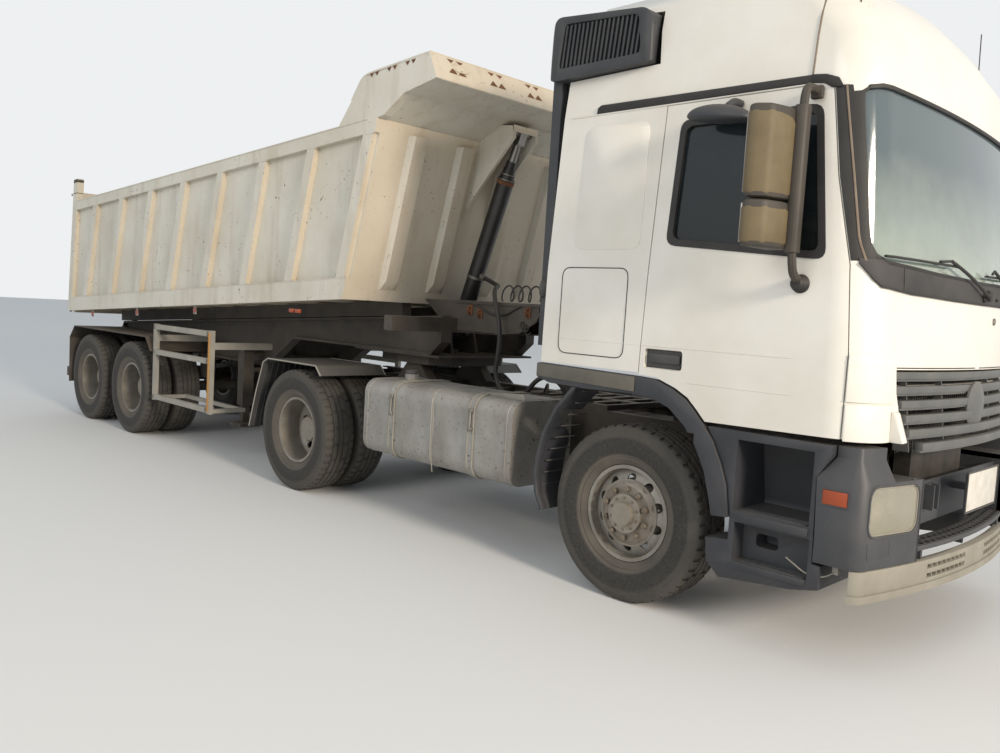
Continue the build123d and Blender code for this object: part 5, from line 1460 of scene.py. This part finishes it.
lamp_body = turned_piece("roof_marker_lamp", [(2, -24), (44, -24), (46, -2), (36, 14), (18, 22), (2, 24)],
                         (1122, -980, 3300), 28, (0.55, -0.2, 0.81))
finished(lamp_body, "white_marker_plastic", "cab")
print("Roof dressed, aerials:", len(aerials))

# %% [markdown]
# ## Dressing the tipper
# The bed is drawn level and then tilted 3.4 degrees, nose up, so its details use the bed's own numbers and one
# function sets them at its slope. The edge of the cab protector is cut out in rows of small triangles, a rounded
# bead runs along its top, and old reflectors sit under the side rail.

# %% From the bed's own numbers to the lorry's
BED_SLOPE = math.radians(3.4)


def on_bed(x, y, z):
    """A place in the bed's own millimetres, as millimetres from the front axle."""
    return (-9120 + x * math.cos(BED_SLOPE) - z * math.sin(BED_SLOPE), y,
            1350 + x * math.sin(BED_SLOPE) + z * math.cos(BED_SLOPE))


def bed_plate(name, outline, thickness, round_mm=0.0):
    return plate(name, [on_bed(*p) for p in outline], thickness, round_mm)


def front_wall(z):
    """How far forward the bed's front wall is at a height in the bed's own frame."""
    return 6230 + z * math.tan(math.radians(18))


print("The bed's front top corner:", [round(v) for v in on_bed(front_wall(1400), 0, 1400)])

# %% Cut-outs and bead of the cab protector
marks = []
for y in range(-1020, 1100, 420):
    for shift in (-46, 46):
        x_top, x_low = 7308, 7352
        marks.append(bed_plate("cut", [(x_top, y + shift - 36, 1746), (x_top, y + shift + 36, 1746),
                                       (x_top + 12, y + shift, 1716)], (2, 0, 0)))
        marks.append(bed_plate("cut", [(x_low, y + shift - 40, 1636), (x_low, y + shift + 40, 1636),
                                       (x_low - 14, y + shift, 1676)], (2, 0, 0)))
for side in (1, -1):
    for x in (6640, 6860, 7080):
        for shift in (-34, 34):
            marks.append(bed_plate("cut", [(x + shift - 26, side * 1251, 1746), (x + shift + 26, side * 1251, 1746),
                                           (x + shift, side * 1251, 1716)], (0, side * 1.5, 0)))
finished(joined("protector_cutouts", marks), "rusted_steel", "bed", 0)
hole = [(7330 + 10 * math.sin(t) * 1.4, -985 + 92 * math.cos(t), 1690 - 30 * math.sin(t))
        for t in [i * math.pi / 9 for i in range(18)]]
hole_rim = rod("protector_hole_rim", [on_bed(*p) for p in hole + hole[:1]], 6)
finished(hole_rim, "cream_tipper_paint", "bed")
bead_line = [(6332, 1585), (6400, 1662), (6470, 1738), (6560, 1757), (6900, 1760), (7270, 1763), (7300, 1760)]
beads = [rod("bead", [on_bed(x, side * 1238, z) for x, z in bead_line], 12, True) for side in (1, -1)]
beads.append(rod("bead", [on_bed(7293, y, 1760) for y in (-1240, 0, 1240)], 12))
beads.append(rod("bead", [on_bed(7372, y, 1566) for y in (-1205, 0, 1205)], 9))
finished(joined("protector_bead", beads), "cream_tipper_paint", "bed")
print("Protector cut-outs:", len(marks))

# %% Folded ribs on the front wall and the cap of the cylinder's hood
ribs = []
for y in (-820, -300, 300, 820):
    low = [on_bed(front_wall(96) + 1, y - 95, 96), on_bed(front_wall(96) + 1, y + 95, 96),
           on_bed(front_wall(96) + 4, y + 70, 96), on_bed(front_wall(96) + 4, y - 70, 96)]
    rings = [low]
    for z in (175, 1318):
        x = front_wall(z)
        rings.append([on_bed(x + 1, y - 95, z), on_bed(x + 1, y + 95, z), on_bed(x + 56, y + 64, z - 8),
                      on_bed(x + 56, y - 64, z - 8)])
    ribs.append(lofted("rib", rings))
finished(joined("front_wall_folded_ribs", ribs), "cream_tipper_paint", "bed")
ex, ez = 7027.5, 1435.7
cap = plate("hood_cap", [on_bed(ex + 62, -150, ez - 10), on_bed(ex + 62, -150, ez + 45), on_bed(ex - 200, -150, ez + 92),
                         on_bed(ex - 200, -150, ez + 84), on_bed(ex + 54, -150, ez + 38), on_bed(ex + 54, -150, ez - 10)],
            (0, 300, 0))
finished(cap, "cream_tipper_paint", "bed")

# %% Weld beads, rib gussets and top rail
welds = []
for side in (1, -1):
    for i in range(8):
        x = 6230 - i * 800
        for z in (182, 1284):
            lean = z * math.tan(math.radians(18))
            welds.append(rod("weld", [on_bed(x - 188 + lean, side * 1203, z), on_bed(x - 120 + lean, side * 1248, z),
                                      on_bed(x + lean, side * 1248, z)], 4))
    welds.append(rod("weld", [on_bed(140, side * 1250, 172), on_bed(6280, side * 1250, 172)], 4))
    welds.append(rod("weld", [on_bed(340, side * 1250, 1402), on_bed(6560, side * 1250, 1402)], 7))
finished(joined("side_wall_welds", welds), "cream_tipper_paint", "bed")
caps = []
for side in (1, -1):
    for z0, z1 in ((1640, 1684), (1500, 1512)):
        lean0, lean1 = z0 * math.tan(math.radians(8)), z1 * math.tan(math.radians(8))
        y = side * 1172
        caps.append(plate("cap", [on_bed(lean0 - 6, y, z0), on_bed(lean0 + 136, y, z0), on_bed(lean1 + 128, y, z1),
                                  on_bed(lean1 + 6, y, z1)], (0, side * 82, 0), 6))
finished(joined("rear_post_caps", caps), "chassis_paint_dusty", "bed")
print("Welds:", len(welds))

# %% Reflectors under the rail and lamps at the bed's front corner
for tag, side in (("l", 1), ("r", -1)):
    brackets, glasses = [], []
    for x, z in ((-8364, 1352), (-7019, 1432), (-5575, 1518)):
        brackets.append(plate("bracket", [(x - 34, side * 1206, z - 46), (x + 34, side * 1206, z - 46),
                                          (x + 26, side * 1206, z + 42), (x - 26, side * 1206, z + 42)],
                              (0, side * 5, 0), 1.5))
        brackets.append(rod("stay", [(x, side * 1204, z + 30), (x, side * 1180, z + 60)], 7))
        glasses.append(turned_piece("glass", [(2, 9), (22, 8), (27, 3), (28, 0)], (x, side * 1211, z - 8), 28,
                                    (0, side, 0)))
    finished(joined(f"marker_brackets_{tag}", brackets), "weathered_guard_paint", "bed")
    finished(joined(f"marker_reflectors_{tag}", glasses), "retroreflective_red", "bed")
    lamps_row = [block("lamp", (x, side * 1206, 1574), (x + 74, side * 1228, 1608), 6) for x in (-3740, -3640)]
    finished(joined(f"bed_side_lamps_{tag}", lamps_row), "amber_lens", "bed")
print("Reflectors and side lamps placed")

# %% Hinges, latch and ribs of the tailgate
gate_lean = math.tan(math.radians(8))
for tag, side in (("l", 1), ("r", -1)):
    strap_rows = []
    for y in (1000, 620):
        strap_rows.append(plate("strap", [on_bed(x * 1.0 + z * gate_lean, side * y, z) for x, z in
                                          ((-146, 60), (-146, 1500), (-92, 1530), (-92, 30))], (0, side * 12, 0), 2))
    finished(joined(f"tailgate_ribs_{tag}", strap_rows), "cream_tipper_paint", "tailgate")
    cap = turned_piece(f"gate_pin_cap_{tag}", [(2, 5), (15, 5), (17, 0)], on_bed(150.8, side * 1242, 1500), 20,
                       (0, side, 0))
    finished(cap, "chassis_paint_dusty", "tailgate")
    hook = rod(f"latch_hook_{tag}", [on_bed(-70, side * 1180, 60), on_bed(-120, side * 1180, 90),
                                     on_bed(-132, side * 1180, 40), on_bed(-90, side * 1180, -4)], 14, True)
    finished(hook, "chassis_paint_dusty", "bed")
print("Tailgate dressed")

# %% [markdown]
# ## The cylinder
# Each telescopic stage has a bright wiper ring at its mouth, and the first has a rust-brown band under it. A hose
# fitting with a nut joins the hose to the port near the bottom.

# %% Rings on the cylinder stages
base = Vector(at(-2850, 0, 1450))
eye_point = Vector(at(-2190, 0, 3200))
along = (eye_point - base).normalized()


def on_cylinder(distance):
    """A place on the cylinder's axis at a distance from its base, in mm from the front axle."""
    point = base + along * (distance / 1000)
    return ((point.x - FRONT_AXLE_X) * 1000, 0.0, point.z * 1000)


rings = (
    # name, body, distance, profile, finish, slot
    ("first_tube_band", "cylinder_tube", 1400, [(76, 0), (82, 2), (82, 34), (76, 36)], "rusted_steel", "cylinder_black"),
    ("first_tube_ring", "cylinder_tube", 1440, [(79, 0), (83, 2), (83, 10), (79, 12)], "zinc_plated_steel",
     "cylinder_steel"),
    ("first_tube_collar", "cylinder_tube", 533, [(74, 0), (84, 3), (84, 22), (74, 25)], "zinc_plated_steel",
     "cylinder_steel"),
    ("stage_1_ring", "cylinder_stage_1", 1492, [(64, 0), (67.5, 1), (67.5, 9), (64, 10)], "zinc_plated_steel",
     "cylinder_steel"),
)
for name, body, distance, profile, finish, slot in rings:
    ring = turned_piece(name, profile, on_cylinder(distance), 40, along)
    finished(ring, finish, body)
port_way = Vector((math.cos(math.radians(20.65)), 0, -math.sin(math.radians(20.65))))
port_start = Vector(on_cylinder(608)) + port_way * 70
nut = hexagon("hose_nut", tuple(port_start), 62, 44, port_way)
finished(nut, "zinc_plated_steel", "cylinder_tube", 30)
print("Cylinder rings:", len(rings))

# %% [markdown]
# ## Trailer frame, running gear and nose
# Under the bed are the things a chassis has: air tanks, brake chambers, U-bolts over the springs, pipes along the
# rails. The nose carries an air line coiled over it, rusty hooks and a flange that has lost its paint.

# %% Nose and the coiled air line over it
cheek = [(-2858, 1765), (-2500, 1495), (-1960, 1503), (-1690, 1530), (-1520, 1625), (-1470, 1700), (-1470, 1765)]
nose = [side_form("side", cheek, side * 380, side * 400) for side in (1, -1)]
nose += [block("top", (-2445, -400, 1749), (-1470, 400, 1765), 3), block("lip", (-1492, -400, 1700), (-1470, 400, 1765), 3),
         block("low", (-2440, -400, 1503), (-1960, 400, 1515), 3)]
nose += [block("flange", (-2440, side * 396 - 14, 1741), (-1474, side * 396 + 14, 1769), 3) for side in (1, -1)]
finished(joined("trailer_nose", nose), "chassis_paint_dusty", "trailer")
coil = []
for loop_x in (-1887, -1787, -1699, -1593):
    for k in range(12):
        turn = k / 12 * 2 * math.pi
        coil.append((loop_x + k / 12 * 96 - 40 * math.sin(turn), -396 - 8 * math.cos(turn), 1843 - 64 * math.cos(turn)))
finished(rod("air_line_coil", coil, 7, True, 1), "hose_rubber", "trailer")
low_coil = []
for k in range(3 * 10 + 1):
    turn = k / 10 * 2 * math.pi
    low_coil.append((-1660 + k * 3 + 24 * math.cos(turn), -418 + 10 * math.sin(turn), 1606 - k * 2 + 24 * math.sin(turn)))
finished(rod("air_line_tail", low_coil, 5, True, 1), "hose_rubber", "trailer")
loop = rod("nose_cable_loop", [(-2300, -404, 1748), (-2180, -410, 1740), (-2080, -412, 1690), (-1960, -414, 1655),
                               (-1820, -412, 1672), (-1740, -408, 1722), (-1660, -402, 1750)], 8, True)
finished(loop, "hose_rubber", "trailer")
hooks = []
for x, z in ((-2260, 1690), (-2140, 1668), (-1600, 1700)):
    hooks.append(rod("hook", [(x, -402, z + 30), (x, -440, z + 20), (x + 6, -446, z - 20), (x, -404, z - 34)], 8, True))
    hooks.append(block("foot", (x - 26, -408, z - 44), (x + 26, -400, z + 44), 3))
finished(joined("nose_hooks", hooks), "rusted_steel", "trailer")
print("Nose dressed")

# %% Air tanks, brake chambers, U-bolts and pipes
def air_tank(name, low_x, high_x, y, z, radius):
    """A tank with domed ends and two straps."""
    length = high_x - low_x
    profile = [(1, 0), (radius * 0.55, 6), (radius * 0.88, 24), (radius, 55), (radius, length - 55),
               (radius * 0.88, length - 24), (radius * 0.55, length - 6), (1, length)]
    body = turned_piece(name, profile, (low_x, y, z), 36, (1, 0, 0))
    bands = [turned_piece("band", [(radius, 0), (radius + 5, 1), (radius + 5, 33), (radius, 34)],
                          (x, y, z), 36, (1, 0, 0)) for x in (low_x + length * 0.22, low_x + length * 0.7)]
    return joined(name, [body] + bands)


finished(air_tank("trailer_air_tank", -6250, -5650, -250, 1050, 120), "chassis_paint_dusty",
         "trailer")
for tag, side in (("l", 1), ("r", -1)):
    chambers, bolts = [], []
    for x in (-7170, -8440):
        chambers.append(turned_piece("chamber", [(3, 0), (62, 2), (80, 26), (80, 50), (86, 52), (86, 64), (80, 66),
                                                 (78, 100), (60, 122), (3, 126)], (x + 175, side * 330, 610), 28,
                                     (0.6, 0, 0.8)))
        for shift in (-52, 52):
            for y in (484, 552):
                bolts.append(rod("u_bolt", [(x + shift, side * y, 740), (x + shift, side * y, 450)], 11))
            bolts.append(rod("u_bolt", [(x + shift, side * 484, 738), (x + shift, side * 552, 738)], 11))
    finished(joined(f"brake_chambers_{tag}", chambers), "cast_iron_oiled", "trailer")
    finished(joined(f"u_bolts_{tag}", bolts), "cast_iron_oiled", "trailer")
    pipes = [rod("pipe", [(-8900, side * (578 + 3 * i), 1120 - 22 * i), (-6000, side * (578 + 3 * i), 1120 - 22 * i),
                          (-5300, side * (578 + 3 * i), 1140 - 20 * i)], 6, True) for i in range(3)]
    finished(joined(f"rail_pipes_{tag}", pipes), "hose_rubber", "trailer")
    lamps_rear = [block("lamp", (-9262, side * y - 60, 500), (-9252, side * y + 60, 580), 8) for y in (1060, 920)]
    finished(joined(f"rear_lamps_{tag}", lamps_rear), "retroreflective_red", "trailer")
    amber = block("rear_indicator", (-9262, side * 780 - 50, 500), (-9252, side * 780 + 50, 580), 8)
    finished(joined(f"rear_indicator_{tag}", [amber]), "amber_lens", "trailer")
    strip = block(f"guard_strip_{tag}", (-5226, side * 1224, 500), (-5186, side * 1229, 1300), 1.5)
    finished(strip, "orange_guard_paint", "trailer")
    guard_bolts = [hexagon("bolt", (x, side * 1225, z), 22, 9, (0, side, 0)) for x in (-6490, -5245)
                   for z in (495, 520, 995, 1020, 1275, 1300)]
    finished(joined(f"guard_bolts_{tag}", guard_bolts), "zinc_plated_steel", "trailer")
    flap = plate(f"rear_flap_ribs_{tag}", [(-9064, side * 620, 440), (-9064, side * 1210, 440),
                                           (-9064, side * 1210, 960), (-9064, side * 620, 960)], (-4, 0, 0), 2)
    finished(flap, "hose_rubber", "trailer")
plate_rear = block("rear_plate_blank", (-9262, -220, 495), (-9254, 220, 590), 3)
finished(plate_rear, "white_marker_plastic", "trailer")
print("Trailer running gear dressed")

# %% [markdown]
# ## The tractor behind the cab
# The fuel tank has welded end seams, a rubber under each strap, a filler with a cap, and a bent lamp plate hanging
# from its top. The mudguards have a light rolled edge and ribs inside. Pipes and cables run along the frame.

# %% Tank seams, straps, cap and the bent plate
def tank_ring(x, grow, radius_mm):
    """A loop round the tank's section at one place along it."""
    y0, y1, z0, z1 = -1225 - grow, -610 + grow, 520 - grow, 1105 + grow
    loop = ring_outline((y0 + y1) / 2, (y1 - y0) / 2, z0, z1, 110 + grow, 6)
    loop.append(loop[0])
    return rod("loop", [(x, y, z) for y, z in loop], radius_mm)


seams = [tank_ring(x, 1, 4) for x in (-2512, -968, -1740)]
finished(joined("tank_seams", seams), "brushed_aluminium_tank", "root")
strap_edges = [tank_ring(x, 8, 5) for x in (-2228, -2172, -1338, -1282)]
finished(joined("tank_strap_edges", strap_edges), "sun_bleached_valance", "root")
cap = turned_piece("tank_cap", [(2, 30), (40, 30), (50, 24), (54, 8), (54, 0), (46, -3), (2, -3)], (-2380, -900, 1152),
                   32, (0, 0, 1))
finished(cap, "moulded_black_plastic", "root")
bent = plate("bent_lamp_plate", [(-1320, -1090, 1122), (-1130, -1120, 1140), (-935, -1105, 1150), (-930, -1100, 1082),
                                 (-1125, -1118, 1086), (-1312, -1092, 1112)], (0, 5, 0), 1)
finished(bent, "sun_bleached_valance", "root")
turnbuckles = [rod("bolt", [(x, -1243, 1010), (x, -1246, 860)], 7) for x in (-2200, -1310)]
turnbuckles += [block("lug", (x - 22, -1250, z - 14), (x + 22, -1234, z + 14), 4) for x in (-2200, -1310)
                for z in (1000, 870)]
finished(joined("tank_strap_bolts", turnbuckles), "zinc_plated_steel", "root")
dangling = rod("dangling_wire", [(-1700, -1238, 1100), (-1712, -1244, 980), (-1690, -1246, 840), (-1716, -1244, 700),
                                 (-1700, -1240, 560), (-1694, -1232, 500)], 4, True)
finished(dangling, "sun_bleached_valance", "root")
print("Tank dressed")

# %% Mudguard edges and ribs, frame pipes, and lamps at the tractor's tail
guard_line = [(-3180, 1060), (-3260, 1138), (-4040, 1138), (-4120, 1098), (-4235, 800), (-4335, 476)]
guard_back = [(-4327, 474), (-4227, 797), (-4113, 1092), (-4038, 1130), (-3263, 1130), (-3186, 1055)]
sheets = [side_form("sheet", guard_line + guard_back, side * 545, side * 1240) for side in (1, -1)]
sheets += [block("stay", (-3640, min(side * 415, side * 560), 1096), (-3560, max(side * 415, side * 560), 1128), 4) for side in (1, -1)]
guards = joined("mudguard_sheets", sheets)
finished(guards, "moulded_black_plastic", "root")
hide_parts("rear_mudguards")
for tag, side in (("l", 1), ("r", -1)):
    edges = [rod("edge", [(x, side * 1238, z) for x, z in guard_line], 7),
             rod("edge", [(x, side * 548, z) for x, z in guard_line], 5)]
    finished(joined(f"mudguard_edges_{tag}", edges), "weathered_guard_paint", "root")
    ribs = [rod("rib", [(-4108 + 4, side * y, 1088), (-4222, side * y, 797), (-4322, side * y, 482)], 6)
            for y in range(600, 1220, 60)]
    finished(joined(f"mudguard_ribs_{tag}", ribs), "moulded_black_plastic", "root")
    arch_ribs = []
    for i in range(9):
        t = i / 8
        x = -380 - 296 * math.sin(t * 1.5)
        z = 1238 - 640 * t
        arch_ribs.append(rod("rib", [(x + 22, side * 1010, z), (x + 22, side * 1190, z)], 5))
    finished(joined(f"arch_liner_ribs_{tag}", arch_ribs), "moulded_black_plastic", "root")
    pipes = [rod("pipe", [(-1250, side * (422 + 4 * i), 990 - 24 * i), (-2600, side * (422 + 4 * i), 985 - 24 * i),
                          (-4300, side * (422 + 4 * i), 990 - 24 * i)], 6, True) for i in range(3)]
    finished(joined(f"frame_pipes_{tag}", pipes), "hose_rubber", "root")
    flange_bolts = [hexagon("bolt", (x, side * 415, z), 24, 12, (0, side, 0)) for x in range(-4200, -1300, 240)
                    for z in (830, 940)]
    finished(joined(f"frame_bolts_{tag}", flange_bolts), "cast_iron_oiled", "root")
    lamp = turned_piece(f"tail_lamp_{tag}", [(2, -26), (60, -26), (66, -6), (62, 6), (30, 12), (2, 13)],
                        (-4392, side * 300, 900), 28, (-1, 0, 0))
    finished(lamp, "retroreflective_red", "root")
    u_bolts = []
    for x in (-3652, -3548):
        for y in (352, 438):
            u_bolts.append(rod("u_bolt", [(x, side * y, 760), (x, side * y, 440)], 12))
        u_bolts.append(rod("u_bolt", [(x, side * 352, 758), (x, side * 438, 758)], 12))
    finished(joined(f"drive_u_bolts_{tag}", u_bolts), "cast_iron_oiled", "root")
boxes = [block("valve", (-1560, -404, 1000), (-1420, -300, 1090), 12), block("valve", (-1700, 160, 1035), (-1560, 300, 1120), 12)]
lines = [rod("line", [(-1430, -350, 1090), (-1400, -360, 1150), (-1330, -420, 1170), (-1290, -470, 1120)], 9, True),
         rod("line", [(-1560, 220, 1120), (-1500, 200, 1180), (-1400, 60, 1140), (-1300, -60, 1080)], 9, True)]
finished(joined("frame_valves", boxes + lines), "cast_iron_oiled", "root")
lamp_shell = turned_piece("rear_work_lamp", [(2, -70), (30, -66), (52, -40), (62, -8), (64, 4), (56, 8), (50, 2), (2, 0)],
                          (-752, -1180, 1862), 32, (-0.92, -0.3, 0.0))
finished(lamp_shell, "moulded_black_plastic", "cab")
stay = rod("rear_work_lamp_stay", [(-676, -1180, 1800), (-710, -1180, 1795), (-716, -1180, 1850)], 8, True)
finished(stay, "moulded_black_plastic", "cab")
for y in (-300, 0, 300):
    grab = rod(f"cab_back_bar_{y + 300}", [(-676, y, 1700), (-706, y, 1720), (-706, y, 2300), (-676, y, 2320)], 10, True)
    finished(grab, "moulded_black_plastic", "cab")
print("Tractor's rear dressed")

# %% [markdown]
# ## Inside the cab
# Through the glass one sees the wheel, the seats and the roof lining. Sun visors, headrests, a curtain and the
# column stalks are enough for that.

# %% Seats with crowned cushions, headrests, visors and stalks
def cushion(name, low, high, crown, lean=0.0):
    """A stuffed pad: a subdivided box whose faces rise in the middle and whose sides draw in between the corners."""
    a, b = Vector(low), Vector(high)
    middle, half = (a + b) / 2, (b - a) / 2
    bpy.ops.object.select_all(action="DESELECT")
    bpy.ops.mesh.primitive_cube_add(size=2)
    piece = bpy.context.object
    piece.name = name
    smooth = piece.modifiers.new("smooth", "SUBSURF")
    smooth.levels = smooth.render_levels = 4
    smooth.subdivision_type = "SIMPLE"
    bpy.ops.object.modifier_apply(modifier="smooth")
    for vertex in piece.data.vertices:
        u = vertex.co.copy()
        soft = Vector([c * (1 - 0.5 * (0.36 * (u[(i + 1) % 3] ** 4) + 0.36 * (u[(i + 2) % 3] ** 4)) * 0.3)
                       for i, c in enumerate(u)])
        rise = (1 - u.x ** 2) * (1 - u.y ** 2) * (1 - u.z ** 2 * 0.2)
        groove = 0.06 if abs(abs(u.y) - 0.5) < 0.07 else 0.0
        place = Vector([middle[i] + soft[i] * half[i] for i in range(3)])
        place.z += math.copysign(crown * rise * (1 - groove * 6), u.z) if abs(u.z) > 0.9 else 0.0
        place.x += lean * (place.z - low[2])
        vertex.co = at(*place)
    outward(piece)
    return piece


for tag, side in (("l", 1), ("r", -1)):
    y0, y1 = sorted((side * 345, side * 875))
    seat = cushion(f"seat_cushion_{tag}", (185, y0, 1662), (735, y1, 1782), 8)
    back = block("back", (60, y0 + 6, 1760), (180, y1 - 6, 2440), 42, 5)
    for vertex in back.data.vertices:
        vertex.co.x -= (vertex.co.z - 1.76) * 0.15 - 0.02
    back.name = f"seat_back_{tag}"
    rest = block(f"headrest_{tag}", (-40, side * 610 - 130, 2452), (50, side * 610 + 130, 2650), 34, 4)
    for piece, fill in ((seat, 0.9), (back, 0.9), (rest, 0.9)):
        finished(piece, "woven_seat_cloth", "cab", 60)
    stem = rod(f"headrest_stem_{tag}", [(0, side * 610 - 50, 2420), (4, side * 610 - 50, 2470)], 7)
    finished(stem, "zinc_plated_steel", "cab")
    base_box = block(f"seat_base_{tag}", (230, y0 + 60, 1440), (690, y1 - 60, 1664), 18)
    finished(base_box, "dashboard_grained_plastic", "cab")
    if tag == "l":
        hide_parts("seats")
    visor = plate(f"sun_visor_{tag}", [(1270, side * 160, 2790), (1270, side * 1000, 2790), (1305, side * 1000, 2640),
                                       (1305, side * 160, 2640)], (-14, 0, 0), 5)
    finished(visor, "dashboard_grained_plastic", "cab")
stalks = [rod("stalk", [(1000, 600 + side * 30, 1880), (990, 600 + side * 160, 1905)], 7) for side in (1, -1)]
finished(joined("column_stalks", stalks), "rubber_seal", "cab")
vents = [block("vent", (1086, y - 70, 1890), (1100, y + 70, 1935), 6) for y in (-900, -300, 150, 980)]
finished(joined("dash_vents", vents), "rubber_seal", "cab")
folds = steps_between(-1050, 1050, 141)
front = [(-120 + 16 * math.sin(y / 34) + 5 * math.sin(y / 11), y) for y in folds]
curtain = plan_form("berth_curtain", front + [(x - 4, y) for x, y in reversed(front)], 1500, 2860)
finished(curtain, "woven_seat_cloth", "cab", 60)
print("Cab interior dressed")

# %% [markdown]
# ## Closing
# The hose's mesh and its centre line without thickness are copied out, the hose gets its rubber and rides on the
# root, and the solid model's hose is hidden.

copied = bpy.data.meshes.new_from_object(hose)
flat = hose_curve.copy()
flat.bevel_depth = 0
line = bpy.data.objects.new("line", flat)
bpy.context.scene.collection.objects.link(line)
bpy.context.view_layer.update()
track = bpy.data.meshes.new_from_object(line)
bpy.data.objects.remove(line)
hose.data.materials.append(look["hose_rubber"])
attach(hose, "root")
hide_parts("hydraulic_hose")
